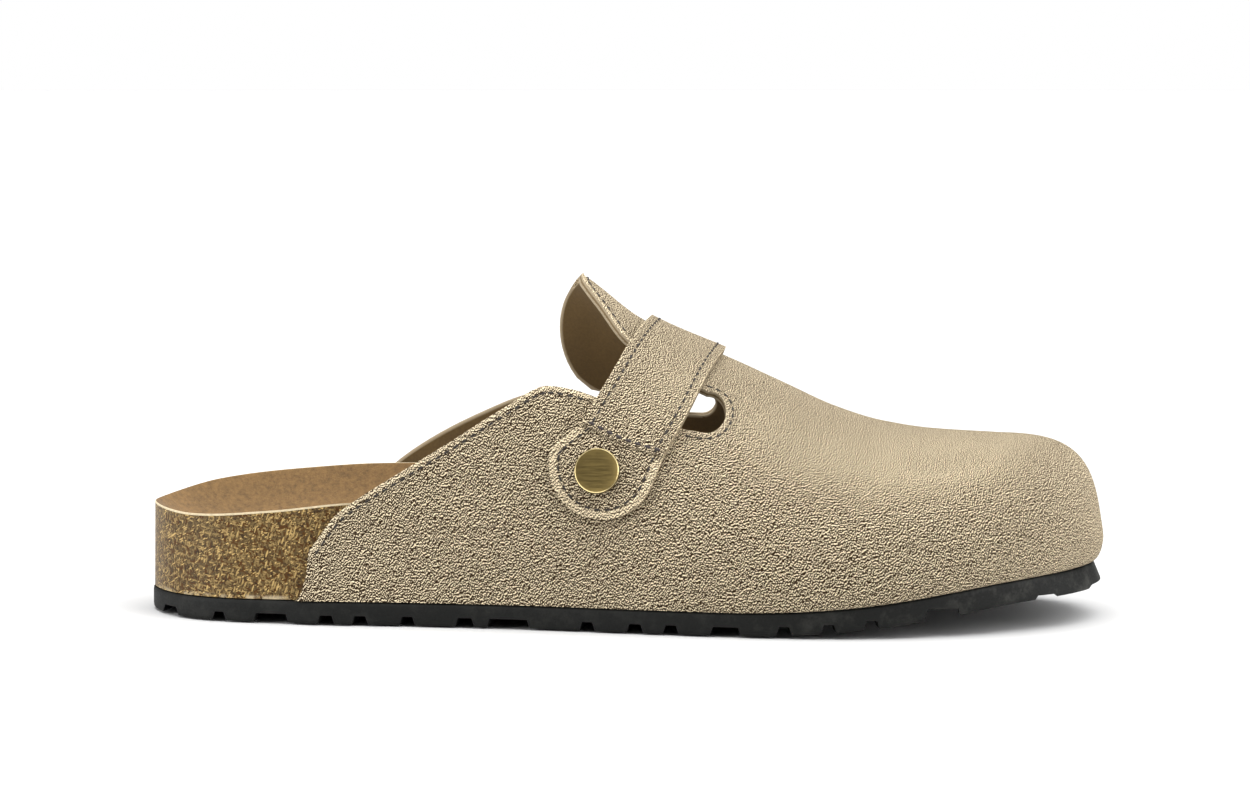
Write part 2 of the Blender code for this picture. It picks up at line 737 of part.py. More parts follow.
def main():
    for old in list(bpy.data.objects):
        bpy.data.objects.remove(old)
    suede = material("suede_taupe", (0.40, 0.32, 0.23), 0.95)
    cork = material("cork", (0.34, 0.20, 0.09), 0.6)
    lining = material("suede_tan", (0.36, 0.21, 0.10), 0.9)
    rubber = material("foam_rubber_black", (0.02, 0.02, 0.021), 0.7)
    brass = material("antique_brass", (0.25, 0.19, 0.08), 0.45, 1.0)
    pieces = [
        make_outsole(rubber),
        make_footbed(cork),
        make_lining(lining),
        make_upper(suede),
        make_strap(suede),
        make_stud(brass),
    ]
    centre(pieces)


main()
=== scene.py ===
"""Right clog with a suede upper on a cork footbed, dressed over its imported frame.

The shapes are worked out in millimetres from the back of the heel: x runs to the toe, y to the inner
side of the foot and z up from the floor. Meshes are laid in metres, in the frame's own place.
"""

import math
from collections import namedtuple

import bpy
import numpy as np
from bpy.props import FloatProperty, FloatVectorProperty, PointerProperty
from mathutils import Matrix, Vector
from mathutils.bvhtree import BVHTree
from mathutils.kdtree import KDTree


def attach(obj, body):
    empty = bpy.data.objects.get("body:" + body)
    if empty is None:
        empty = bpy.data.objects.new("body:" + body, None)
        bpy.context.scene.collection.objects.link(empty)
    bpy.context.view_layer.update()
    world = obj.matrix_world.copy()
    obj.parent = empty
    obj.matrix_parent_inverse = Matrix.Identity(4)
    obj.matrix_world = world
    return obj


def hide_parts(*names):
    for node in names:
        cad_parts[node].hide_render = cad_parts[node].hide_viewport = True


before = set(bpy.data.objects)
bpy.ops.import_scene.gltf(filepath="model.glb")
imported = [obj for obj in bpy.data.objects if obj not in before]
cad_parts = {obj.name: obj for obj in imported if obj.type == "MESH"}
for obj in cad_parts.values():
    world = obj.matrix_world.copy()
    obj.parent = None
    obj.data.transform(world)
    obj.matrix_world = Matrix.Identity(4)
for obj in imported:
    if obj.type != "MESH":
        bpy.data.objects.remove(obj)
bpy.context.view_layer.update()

bl_info = {
    "name": "Footbed clog",
    "version": (1, 0, 0),
    "blender": (4, 5, 0),
    "location": "View3D > Sidebar > Clog",
    "description": "Models a suede clog on a cork footbed, with its stitching and a plain studio",
    "category": "Add Mesh",
}

MM = 0.001
# Where the back of the heel's plan origin lies in the frame, in millimetres
HEEL_PLACE = np.array([-139.679, 1.973, 0.0])

LATERAL = -1
MEDIAL = 1

FOOTBED_LENGTH = 274.7
BALL_WIDTH = 99.0
SOLE_THICKNESS = 6.6
TOE_SPRING = 9.4
GAP = 0.3
WALL = 2.0
LINING = 1.4
STRAP_THICKNESS = 2.2
TAB_SHARE = 0.7
STUD_DIAMETER = 13.0
STUD_HEIGHT = 2.2

# Pressed hems beside the cut edges: on the quarters and the tongue, on the strap's band and on its tab
QUARTER_HEM = 1.3
BAND_HEM = 0.3
TAB_HEM = 2.4
# The slot beside the strap lies in front of this and has no hem
SLOT_START = 155.0
# How far from a cut edge the suede's finish still changes
EDGE_REACH = 12
EDGE_STEP = 0.3
# Vertices closer than this are one
MERGE_GAP = 0.008

# The upper stands outside the footbed by a gap and its own wall
UPPER_STEP = GAP + WALL
# The outsole is flush with the cork at the heel and with the upper in front of it
HEEL_MARGIN = 0.4
HEEL_END = 40.0
UPPER_START = 56.0

# Footbed outline in plan: share of the footbed length, share of half the ball width
OutlinePoint = namedtuple("OutlinePoint", "along across")
OUTLINE = [
    OutlinePoint(0.000, 0.01),
    OutlinePoint(0.028, -0.38),
    OutlinePoint(0.085, -0.61),
    OutlinePoint(0.175, -0.695),
    OutlinePoint(0.300, -0.725),
    OutlinePoint(0.430, -0.805),
    OutlinePoint(0.560, -0.945),
    OutlinePoint(0.680, -1.035),
    OutlinePoint(0.785, -1.020),
    OutlinePoint(0.875, -0.865),
    OutlinePoint(0.945, -0.590),
    OutlinePoint(0.987, -0.230),
    OutlinePoint(1.000, 0.130),
    OutlinePoint(0.983, 0.490),
    OutlinePoint(0.935, 0.760),
    OutlinePoint(0.855, 0.915),
    OutlinePoint(0.755, 0.960),
    OutlinePoint(0.650, 0.900),
    OutlinePoint(0.520, 0.755),
    OutlinePoint(0.400, 0.675),
    OutlinePoint(0.280, 0.660),
    OutlinePoint(0.165, 0.670),
    OutlinePoint(0.085, 0.600),
    OutlinePoint(0.028, 0.385),
]

# Lift of the sole off the floor towards the toe, as a share of the toe spring
SpringPoint = namedtuple("SpringPoint", "x lift")
SPRING = [
    SpringPoint(0, 0.0),
    SpringPoint(172, 0.0),
    SpringPoint(190, 0.055),
    SpringPoint(205, 0.17),
    SpringPoint(220, 0.36),
    SpringPoint(235, 0.60),
    SpringPoint(250, 0.82),
    SpringPoint(265, 0.94),
    SpringPoint(285, 1.0),
]

# Footbed sections above the sole's top: rim heights on both sides, the floor along the middle, and
# how far the rim leans in over the foot of the side
FootbedSection = namedtuple("FootbedSection", "x rim_lateral rim_medial floor lean")
FOOTBED = [
    FootbedSection(0, 23.8, 23.8, 13.0, 0.3),
    FootbedSection(15, 22.7, 27.4, 12.6, 0.3),
    FootbedSection(40, 24.4, 30.1, 12.4, 0.6),
    FootbedSection(65, 27.0, 31.8, 13.0, 1.2),
    FootbedSection(95, 27.4, 32.2, 14.6, 1.4),
    FootbedSection(130, 22.5, 27.0, 15.2, 1.6),
    FootbedSection(165, 15.5, 17.5, 13.2, 1.2),
    FootbedSection(200, 12.6, 12.8, 10.4, 0.8),
    FootbedSection(240, 11.6, 11.6, 9.4, 0.5),
    FootbedSection(275, 11.4, 11.4, 9.4, 0.4),
]
HEEL_POLE = 36.0
CUP_POWER = 3.2

# Sections of the last: the ridge, how square each arch is, and how far its side swells past the sole
LastSection = namedtuple("LastSection", "x ridge_y ridge_z fullness swell")
LAST = [
    LastSection(30, 0.5, 114.0, 2.7, 0.0),
    LastSection(70, 1.5, 114.0, 2.6, 0.0),
    LastSection(100, 3.0, 112.0, 2.4, 0.1),
    LastSection(126.8, 4.0, 98.8, 2.2, 0.3),
    LastSection(144.5, 5.0, 85.6, 2.15, 0.5),
    LastSection(172.8, 6.0, 73.1, 2.15, 0.9),
    LastSection(187, 6.5, 66.5, 2.2, 1.2),
    LastSection(201, 7.0, 60.0, 2.3, 1.5),
    LastSection(215, 7.0, 55.6, 2.4, 1.8),
    LastSection(230, 6.6, 53.3, 2.5, 2.1),
    LastSection(250, 6.0, 52.2, 2.6, 2.5),
]
TOE_POLE = LAST[-1].x
TOE_FULLNESS = 2.9
TOE_SWELL = 3.0
# How far the front of the toe leans back between its widest line and the ridge
TOE_LEAN = 1.35
SWELL_HEIGHT = 7.5
SWELL_SHARE = 0.08

# Round front ends of the two side slits
SlitEnd = namedtuple("SlitEnd", "side x z radius")
LATERAL_SLIT = SlitEnd(LATERAL, 165.5, 61.6, 5.4)
MEDIAL_SLIT = SlitEnd(MEDIAL, 160.6, 59.6, 4.3)

# Quarter edges from the slit back to the sole: each row is a rib from the sole up to the cut edge
Rib = namedtuple("Rib", "foot_x edge_x edge_z")
LATERAL_EDGE = [
    Rib(165.5, 165.5, 56.2),
    Rib(158.0, 158.5, 57.4),
    Rib(147.0, 146.5, 61.9),
    Rib(138.5, 137.5, 64.6),
    Rib(131.0, 132.0, 66.7),
    Rib(124.0, 126.8, 68.2),
    Rib(116.0, 119.6, 69.1),
    Rib(102.0, 106.4, 62.0),
    Rib(88.0, 92.5, 53.1),
    Rib(74.5, 78.2, 44.3),
    Rib(63.0, 66.6, 37.0),
    Rib(56.5, 59.4, 31.7),
    Rib(52.3, 55.1, 26.1),
    Rib(47.4, 51.6, 21.2),
]
MEDIAL_EDGE = [
    Rib(160.6, 160.6, 55.3),
    Rib(153.0, 153.0, 55.6),
    Rib(144.0, 143.5, 56.7),
    Rib(136.0, 134.5, 58.2),
    Rib(129.0, 128.0, 59.9),
    Rib(121.0, 121.5, 61.9),
    Rib(113.0, 114.5, 62.5),
    Rib(102.0, 105.5, 60.2),
    Rib(90.0, 94.0, 55.4),
    Rib(76.5, 80.6, 48.6),
    Rib(65.0, 69.0, 40.9),
    Rib(57.0, 60.5, 33.0),
    Rib(52.3, 55.3, 26.6),
    Rib(47.4, 51.6, 21.2),
]

# Tongue rows from the vamp to its free end, between the two slits; bow pushes a row back at its middle
TongueRow = namedtuple("TongueRow", "lateral_x lateral_z medial_x medial_z bow")
TONGUE = [
    TongueRow(165.5, 67.0, 160.6, 63.9, 0.0),
    TongueRow(158.0, 70.4, 153.5, 63.1, 0.5),
    TongueRow(149.5, 75.6, 145.5, 62.5, 1.5),
    TongueRow(141.3, 81.7, 138.0, 62.1, 3.8),
    TongueRow(133.8, 90.9, 132.0, 62.2, 6.2),
    TongueRow(126.8, 98.8, 127.4, 63.0, 8.6),
]

# Strap rows from the seam of its tab over the ridge to the inner side; 1000 stands for the ridge
ON_RIDGE = 1000.0
StrapRow = namedtuple("StrapRow", "side rear_x rear_z front_x front_z")
STRAP = [
    StrapRow(LATERAL, 130.4, 58.3, 153.8, 49.2),
    StrapRow(LATERAL, 134.6, 66.0, 159.0, 58.6),
    StrapRow(LATERAL, 140.0, 76.0, 163.5, 67.8),
    StrapRow(LATERAL, 146.2, ON_RIDGE, 168.2, ON_RIDGE),
    StrapRow(MEDIAL, 141.5, 76.0, 163.5, 67.8),
    StrapRow(MEDIAL, 135.5, 66.0, 158.5, 58.6),
    StrapRow(MEDIAL, 129.5, 54.0, 153.0, 46.6),
    StrapRow(MEDIAL, 125.5, 45.0, 148.5, 37.6),
]
TAB_CENTRE = np.array([136.6, 47.4])
TAB_RADIUS = 15.3
TAB_LEAN = math.radians(253)
TAB_TURNS = np.radians([88, 80, 70, 58, 44, 30, 16, 4])
STUD_PLACE = (135.5, 45.2)

# Tread: grooves across the sole
Groove = namedtuple("Groove", "x width depth", defaults=(2.5,))
GROOVES = [
    Groove(8.5, 3.4),
    Groove(23.6, 2.8),
    Groove(39.6, 9.0),
    Groove(56.4, 3.4),
    Groove(66.3, 3.2),
    Groove(80.1, 3.0),
    Groove(97, 4.0),
    Groove(109.8, 11.0),
    Groove(133.1, 2.8),
    Groove(146.5, 3.0),
    Groove(156.5, 2.8),
    Groove(171.7, 7.0),
    Groove(188, 2.8),
    Groove(200.5, 2.8),
    Groove(212.5, 3.0),
    Groove(233, 9.0),
    Groove(261.5, 5.0, 1.0),
    Groove(283, 13.0, 0.7),
]
GROOVE_FLARE = 1.0
GROOVE_WAVE = 2.0
GROOVE_PITCH = 34.0

# Straight bars that stand just proud of the tread, one under the heel and one under the ball
RestBar = namedtuple("RestBar", "x width lateral medial")
REST_BARS = [
    RestBar(31.1, 3.6, -22.0, 22.0),
    RestBar(162.2, 3.0, -36.0, 32.0),
]
REST_HEIGHT = 0.3

# The foot of the sole runs out past its top edge round the toe
TOE_FLARE = 2.6
FLARE_START = 254.0

# Mesh density
PLAN_STATIONS = 96
FAN_RIBS = 64
QUARTER_COLUMNS = 34
QUARTER_STEPS = 6
SLIT_COLUMNS = 24
TONGUE_COLUMNS = 36
TONGUE_STEPS = 7
VAMP_ROWS = 46
STRAP_COLUMNS = 24
STRAP_STEPS = 8


# Colours and sizes that a user would change

def linear(code):
    """An sRGB hex colour as linear red, green and blue."""
    parts = [int(code[i:i + 2], 16) / 255 for i in (1, 3, 5)]
    return tuple(p / 12.92 if p <= 0.04045 else ((p + 0.055) / 1.055) ** 2.4 for p in parts)


def colour(name, code, description):
    return FloatVectorProperty(
        name=name, description=description, default=linear(code), subtype="COLOR", size=3, min=0, max=1
    )


def length(name, size, description):
    return FloatProperty(
        name=name, description=description, default=size * MM, unit="LENGTH", min=0.00005, precision=5
    )


class ClogColours(bpy.types.PropertyGroup):
    """Colours of the clog's finishes."""

    # Suede is the painted lit colour of the tufts' tips; the suede shade below is the painted shade between
    # and beneath them
    suede: colour("Suede", "#f0debb", "Tips of the brushed suede on the upper and the strap")
    suede_painted_shade: colour("Suede shade", "#2a1a08", "Shade between the tufts of the suede")
    flesh: colour("Flesh side", "#5f4a26", "Smooth brown inside of the upper")
    cut_edge: colour("Cut edge", "#b3a285", "Raw edge where the suede was cut")
    # Both thread colours are painted shade: near black for the shade that lies along the seam's groove
    thread: colour("Thread", "#1f170e", "Sewing thread")
    shaded_seam_thread: colour("Seam thread", "#2e2523", "Dark thread of the seam across the strap")
    cork_ground: colour("Cork ground", "#4c2e05", "Ground of the cork granulate")
    cork_flake: colour("Cork flake", "#cbab6c", "Pale flakes in the cork")
    cork_speck: colour("Cork speck", "#2b1a04", "Dark bark specks in the cork")
    insole: colour("Insole", "#705530", "Tan suede on top of the footbed")
    rim: colour("Footbed rim", "#c9b998", "Pale cut edge of the footbed lining")
    rubber: colour("Rubber", "#0b0c0a", "Black foam rubber of the outsole")
    scuff: colour("Rubber dust", "#3a3a36", "Pale dust and scuffs on the rubber")
    brass: colour("Brass", "#7d6c42", "Aged face of the stud")
    brass_rim: colour("Brass rim", "#c0b082", "Polished rim of the stud")
    floor: colour("Floor", "#cdcdcd", "Studio floor")


class ClogSizes(bpy.types.PropertyGroup):
    """Sizes of the clog's dressing."""

    upper_wall: length("Suede thickness", WALL, "Thickness of the upper's suede")
    strap_wall: length("Strap thickness", STRAP_THICKNESS, "Thickness of the strap's band")
    edge_round: length("Edge rounding", 0.4, "Rounding of the cut suede edges")
    seam_inset: length("Seam inset", 2.0, "Distance of the stitching from the edge of the upper")
    strap_inset: length("Strap seam inset", 2.6, "Distance of the stitching from the edge of the strap")
    stitch_pitch: length("Stitch pitch", 3.0, "Distance from one stitch to the next")
    thread_width: length("Thread width", 0.6, "Width of the sewing thread")
    tuft: length("Tuft size", 0.51, "Width of the suede's tufts")
    flake: length("Cork flake size", 2.6, "Length of the cork's flakes")


# Curves through tables

def smooth(xs, ys, x):
    """Smooth curve through the points (xs, ys), read at x; it keeps the end value outside them."""
    xs, ys = np.asarray(xs, float), np.asarray(ys, float)
    x = np.clip(x, xs[0], xs[-1])
    i = np.clip(np.searchsorted(xs, x) - 1, 0, len(xs) - 2)
    grades = np.diff(ys) / np.diff(xs)
    before, after = np.append(grades[0], grades), np.append(grades, grades[-1])
    same_way = before * after > 0
    slopes = np.where(same_way, 2 * before * after / np.where(same_way, before + after, 1.0), 0.0)
    span = xs[i + 1] - xs[i]
    t = (x - xs[i]) / span
    ends = (1 + 2 * t) * (1 - t) ** 2 * ys[i] + t * t * (3 - 2 * t) * ys[i + 1]
    pull = t * (1 - t) ** 2 * slopes[i] - t * t * (1 - t) * slopes[i + 1]
    return ends + pull * span


def column(table, name, x):
    """A column of a table of sections, read at x."""
    return smooth([row.x for row in table], [getattr(row, name) for row in table], x)


def smooth_rows(table, steps):
    """The columns of a table with steps - 1 smooth rows put between each two rows."""
    values = np.array(table, float)
    reads = np.linspace(0, len(values) - 1, (len(values) - 1) * steps + 1)
    return [smooth(np.arange(len(values)), values[:, c], reads) for c in range(values.shape[1])]


def smooth_step(low, high, x):
    """Rises smoothly from 0 at low to 1 at high."""
    t = np.clip((x - low) / (high - low), 0, 1)
    return t * t * (3 - 2 * t)


def closed_curve(points, per_span=48):
    """A smooth closed curve through the points, as an array of points."""
    p = np.array(points, float)
    before, after, later = np.roll(p, 1, 0), np.roll(p, -1, 0), np.roll(p, -2, 0)
    t = np.linspace(0, 1, per_span, endpoint=False)[:, None, None]
    b = (after - before) * t
    c = (2 * before - 5 * p + 4 * after - later) * t ** 2
    d = (3 * p - before - 3 * after + later) * t ** 3
    return ((2 * p + b + c + d) / 2).transpose(1, 0, 2).reshape(-1, 2)


def offset_curve(curve, distance):
    """The closed curve moved outwards by a distance for each of its points."""
    along = np.roll(curve, -1, 0) - np.roll(curve, 1, 0)
    out = np.stack([along[:, 1], -along[:, 0]], 1)
    out /= np.linalg.norm(out, axis=1)[:, None]
    return curve + out * np.asarray(distance)[:, None]


# Plan of the shoe

FOOTBED_OUTLINE = closed_curve(
    [(p.along * FOOTBED_LENGTH, p.across * BALL_WIDTH / 2) for p in OUTLINE]
)
# The outline runs from the heel along the outer side, so outwards is on its right
UPPER_OUTLINE = offset_curve(FOOTBED_OUTLINE, np.full(len(FOOTBED_OUTLINE), UPPER_STEP))
SOLE_MARGIN = HEEL_MARGIN + (UPPER_STEP - HEEL_MARGIN) * smooth_step(
    HEEL_END, UPPER_START, FOOTBED_OUTLINE[:, 0]
)
SOLE_OUTLINE = offset_curve(FOOTBED_OUTLINE, SOLE_MARGIN)


def ridge_y(x):
    return column(LAST, "ridge_y", x)


def side_y(outline, side, x):
    """The y of an outline on one side of the shoe, at x."""
    mine = outline[np.sign(outline[:, 1] - 0.02 * outline[:, 0]) == side]
    mine = mine[np.argsort(mine[:, 0])]
    return np.interp(x, mine[:, 0], mine[:, 1])


def fan_reach(outline, pole, angle):
    """How far a ray from the pole runs to the outline; the angle runs from the +x axis towards +y."""
    rays = outline - np.array(pole)
    angles = np.arctan2(rays[:, 1], rays[:, 0])
    return np.interp(angle, angles, np.linalg.norm(rays, axis=1), period=2 * np.pi)


def plan_ribs(outline):
    """Ribs all round an outline as columns of rim x, rim y, middle x and middle y; the last is the first."""
    stations = np.linspace(HEEL_POLE, TOE_POLE, PLAN_STATIONS)
    turns = np.linspace(-np.pi / 2, np.pi / 2, FAN_RIBS + 1)[1:-1]
    middle = ridge_y(stations)
    parts = []
    for pole_x, start, side in ((TOE_POLE, 0.0, LATERAL), (HEEL_POLE, np.pi, MEDIAL)):
        order = slice(None, None, -side)
        rim = side_y(outline, side, stations)
        parts.append(np.stack([stations, rim, stations, middle], 1)[order])
        pole = (pole_x, float(ridge_y(pole_x)))
        reach = fan_reach(outline, pole, start + turns)
        x, y = pole[0] + reach * np.cos(start + turns), pole[1] + reach * np.sin(start + turns)
        parts.append(np.stack([x, y, np.full_like(x, pole[0]), np.full_like(x, pole[1])], 1))
    ribs = np.concatenate(parts)
    return np.concatenate([ribs, ribs[:1]]).T


def sole_top(x):
    return SOLE_THICKNESS + TOE_SPRING * column(SPRING, "lift", x)


def tread_foot(x):
    """Height of the tread's underside over the floor."""
    return sole_top(x) - SOLE_THICKNESS + REST_HEIGHT


# Upper, as one surface over the last

def arch(reach, height, fullness, swell, share):
    """A rib of the last at a share from the ridge (0) to the sole (1): distance out and height."""
    widest = 1 - SWELL_SHARE
    low = np.clip((share - widest) / SWELL_SHARE, 0, 1) * np.pi / 2
    high = np.clip(1 - share / widest, 0, 1) * np.pi / 2
    under = share > widest
    bow = np.maximum(np.cos(high), 0) ** (2 / fullness)
    out = np.where(under, reach + swell * np.cos(low), (reach + swell) * bow)
    rise = (height - SWELL_HEIGHT) * np.sin(high) ** (2 / fullness)
    return out, SWELL_HEIGHT + np.where(under, -SWELL_HEIGHT * np.sin(low), rise)


def arch_share(side, x, z):
    """The share at which the rib at x has the height z, with the sign of the side."""
    foot = sole_top(x) + GAP
    rise = (z - foot - SWELL_HEIGHT) / (column(LAST, "ridge_z", x) - foot - SWELL_HEIGHT)
    turn = np.arcsin(np.clip(rise, 0, 1) ** (column(LAST, "fullness", x) / 2))
    return side * (1 - SWELL_SHARE) * (1 - turn / (np.pi / 2))


def last_points(x, share):
    """Points of the upper's outside: share runs from -1 at the outer sole edge over 0 to 1."""
    side = np.where(share < 0, LATERAL, MEDIAL)
    middle, foot = ridge_y(x), sole_top(x) + GAP
    rim = np.where(
        share < 0, side_y(UPPER_OUTLINE, LATERAL, x), side_y(UPPER_OUTLINE, MEDIAL, x)
    )
    height = column(LAST, "ridge_z", x) - foot
    fullness, swell = column(LAST, "fullness", x), column(LAST, "swell", x)
    out, up = arch(np.abs(rim - middle), height, fullness, swell, np.abs(share))
    return np.stack([x, middle + side * out, foot + up], -1)


def last_normals(x, share):
    """Outward directions of the upper."""
    along = last_points(x + 0.5, share) - last_points(x - 0.5, share)
    low, high = np.maximum(share - 0.01, -1), np.minimum(share + 0.01, 1)
    out = np.cross(along, last_points(x, high) - last_points(x, low))
    return out / np.linalg.norm(out, axis=-1, keepdims=True)


def toe_points(angle, share):
    """Points of the toe, on ribs that leave the end of the ridge at an angle to the +x axis."""
    pole = (TOE_POLE, float(ridge_y(TOE_POLE)))
    reach = fan_reach(UPPER_OUTLINE, pole, angle)
    foot = sole_top(pole[0] + reach * np.cos(angle)) + GAP
    ahead = np.cos(angle)
    fullness = LAST[-1].fullness + (TOE_FULLNESS - LAST[-1].fullness) * ahead
    swell = LAST[-1].swell + (TOE_SWELL - LAST[-1].swell) * ahead
    height = LAST[-1].ridge_z - foot
    out, up = arch(reach, height, fullness, swell, share)
    rise = np.maximum(up - SWELL_HEIGHT, 0) / (height - SWELL_HEIGHT)
    out = out - TOE_LEAN * ahead * 4 * rise * (1 - rise)
    return np.stack([pole[0] + out * np.cos(angle), pole[1] + out * np.sin(angle), foot + up], -1)


def quarter_pairs(edge, side):
    """Rows of a quarter, each from the sole up to its cut edge, as x and share."""
    foot_x, edge_x, edge_z = smooth_rows(edge, QUARTER_STEPS)
    t = np.linspace(0, 1, QUARTER_COLUMNS + 1)
    top = arch_share(side, edge_x, edge_z)
    x = foot_x[:, None] + (edge_x - foot_x)[:, None] * t
    return np.stack([x, side + (top - side)[:, None] * t], -1)


def tongue_pairs():
    """Rows of the tongue, each from its outer to its inner edge, as x and share."""
    lateral_x, lateral_z, medial_x, medial_z, bow = smooth_rows(TONGUE, TONGUE_STEPS)
    t = np.linspace(0, 1, TONGUE_COLUMNS + 1)
    start = arch_share(LATERAL, lateral_x, lateral_z)
    end = arch_share(MEDIAL, medial_x, medial_z)
    x = lateral_x[:, None] + (medial_x - lateral_x)[:, None] * t
    x = x - bow[:, None] * 3.84 * t**2 * (1 - t) ** 0.56
    return np.stack([x, start[:, None] + (end - start)[:, None] * t], -1)


def slit_pairs(slit):
    """The slit's round front end from its lower to its upper edge, as x and share."""
    turns = np.linspace(-np.pi / 2, np.pi / 2, SLIT_COLUMNS + 1)
    x, z = slit.x + slit.radius * np.cos(turns), slit.z + slit.radius * np.sin(turns)
    return np.stack([x, arch_share(slit.side, x, z)], -1)


def toe_shares():
    """Shares of the columns over half the toe, from the ridge to the sole, wider in front of a slit."""
    knots = [0, TONGUE_COLUMNS // 2, TONGUE_COLUMNS // 2 + SLIT_COLUMNS]
    knots.append(knots[-1] + QUARTER_COLUMNS)
    return np.interp(np.arange(knots[-1] + 1), knots, [0, 0.18, 0.58, 1])


def upper_pairs():
    """The upper's patches behind the toe and its cut edge from sole to sole, all as x and share."""
    outer, inner = quarter_pairs(LATERAL_EDGE, LATERAL), quarter_pairs(MEDIAL_EDGE, MEDIAL)
    tongue = tongue_pairs()
    lateral_slit, medial_slit = slit_pairs(LATERAL_SLIT), slit_pairs(MEDIAL_SLIT)[::-1]
    junction = np.concatenate(
        [outer[0][:-1], lateral_slit[:-1], tongue[0], medial_slit[1:], inner[0][::-1][1:]]
    )
    shares = np.concatenate([-toe_shares()[::-1], toe_shares()[1:]])
    t = np.linspace(0, 1, VAMP_ROWS + 1)[:, None]
    vamp_x = junction[:, 0] + (TOE_POLE - junction[:, 0]) * t
    # The columns fan out quickly round the slits and then run straight to the toe
    vamp = np.stack([vamp_x, shares + (junction[:, 1] - shares) * (1 - t) ** 4], -1)
    edge = np.concatenate(
        [
            outer[::-1, -1],
            lateral_slit[1:-1],
            tongue[:, 0],
            tongue[-1, 1:-1],
            tongue[::-1, -1],
            medial_slit[1:-1],
            inner[:, -1],
        ]
    )
    return [outer, inner, tongue, vamp], edge


def strap_pairs():
    """Rows of the strap from the tip of its tab, as x and share across its width, and the seam's row."""
    lean = np.array([math.cos(TAB_LEAN), math.sin(TAB_LEAN)])
    across = np.array([-lean[1], lean[0]])
    rows = []
    for turn in TAB_TURNS:
        middle = TAB_CENTRE + lean * TAB_RADIUS * math.sin(turn)
        half = across * TAB_RADIUS * math.cos(turn)
        rows.append(StrapRow(LATERAL, *(middle - half), *(middle + half)))
    # A row just under the seam keeps the step from the tab to the band short
    rows.append(StrapRow(*(0.06 * np.array(rows[-1]) + 0.94 * np.array(STRAP[0]))))
    seam = len(rows) * STRAP_STEPS
    ends = []
    for row in rows + STRAP:
        rear = arch_share(row.side, row.rear_x, row.rear_z)
        front = arch_share(row.side, row.front_x, row.front_z)
        ends.append((row.rear_x, rear, row.front_x, front))
    rear_x, rear, front_x, front = smooth_rows(ends, STRAP_STEPS)
    t = np.linspace(0, 1, STRAP_COLUMNS + 1)
    x = rear_x[:, None] + (front_x - rear_x)[:, None] * t
    return np.stack([x, rear[:, None] + (front - rear)[:, None] * t], -1), seam


def footbed_points(ribs, shares, lift):
    """Points of the footbed's top along its ribs, at shares from the rim (1) to the middle line (0)."""
    x, y, middle_x, middle_y = ribs[:, :, None]
    shares = np.asarray(shares, float)
    rim = np.where(y > ridge_y(x), column(FOOTBED, "rim_medial", x), column(FOOTBED, "rim_lateral", x))
    rim_floor, middle_floor = column(FOOTBED, "floor", x), column(FOOTBED, "floor", middle_x)
    inset = 1 - column(FOOTBED, "lean", x) / np.hypot(x - middle_x, y - middle_y)
    px = middle_x + (x - middle_x) * shares * inset
    py = middle_y + (y - middle_y) * shares * inset
    floor = middle_floor + (rim_floor - middle_floor) * shares
    rise = (rim - rim_floor) * shares ** CUP_POWER
    return np.stack([px, py, sole_top(px) + floor + rise + lift], -1)


# Modelling steps

def in_frame(points):
    """Millimetres from the heel as metres in the frame."""
    return (np.asarray(points, float) + HEEL_PLACE) * MM


def pick(*pieces):
    """Selects only these pieces, the first as the active one."""
    bpy.ops.object.select_all(action="DESELECT")
    for piece in pieces:
        piece.select_set(True)
    bpy.context.view_layer.objects.active = pieces[0]


def mesh_places(piece):
    """The vertices of a piece as an array."""
    flat = np.empty(len(piece.data.vertices) * 3)
    piece.data.vertices.foreach_get("co", flat)
    return flat.reshape(-1, 3)


def lay_grid(name, points, finishes=None):
    """A grid laid on rows of points; finishes gives the material slot of each column of faces."""
    rows, columns = points.shape[0] - 1, points.shape[1] - 1
    bpy.ops.object.select_all(action="DESELECT")
    bpy.ops.mesh.primitive_grid_add(x_subdivisions=columns, y_subdivisions=rows, size=1)
    piece = bpy.context.object
    piece.name = piece.data.name = name
    place = np.rint((mesh_places(piece)[:, :2] + 0.5) * (columns, rows)).astype(int)
    if finishes is not None:
        middles = np.empty(len(piece.data.polygons) * 3)
        piece.data.polygons.foreach_get("center", middles)
        of_column = ((middles.reshape(-1, 3)[:, 0] + 0.5) * columns).astype(int)
        piece.data.polygons.foreach_set("material_index", np.asarray(finishes)[of_column])
    piece.data.vertices.foreach_set("co", in_frame(points[place[:, 1], place[:, 0]]).ravel())
    piece.data.update()
    return piece


def weld(piece, *others, sheet=False):
    """Joins pieces that meet, merges what they share and turns the faces out, or up on an open sheet."""
    pick(piece, *others)
    if others:
        bpy.ops.object.join()
    bpy.ops.object.mode_set(mode="EDIT")
    bpy.ops.mesh.select_all(action="SELECT")
    bpy.ops.mesh.remove_doubles(threshold=MERGE_GAP * MM)
    bpy.ops.mesh.normals_make_consistent(inside=False)
    if sheet:
        bpy.ops.object.mode_set(mode="OBJECT")
        upward = sum(face.normal.z * face.area for face in piece.data.polygons)
        bpy.ops.object.mode_set(mode="EDIT")
        if upward < 0:
            bpy.ops.mesh.flip_normals()
    bpy.ops.object.mode_set(mode="OBJECT")
    return piece


def finish_with(piece, kind, **settings):
    """Adds a modifier with its settings and applies it."""
    pick(piece)
    bpy.ops.object.modifier_add(type=kind)
    modifier = piece.modifiers[-1]
    for name, value in settings.items():
        setattr(modifier, name, value)
    bpy.ops.object.modifier_apply(modifier=modifier.name)


def smooth_faces(piece, angle=40):
    pick(piece)
    bpy.ops.object.shade_smooth_by_angle(angle=math.radians(angle))


def dress(piece, *finishes):
    """Fills a piece's material slots in order."""
    for finish in finishes:
        piece.data.materials.append(finish)


def settle(piece, node=None):
    """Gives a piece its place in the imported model."""
    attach(piece, "root")
    if node:
        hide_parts(node)


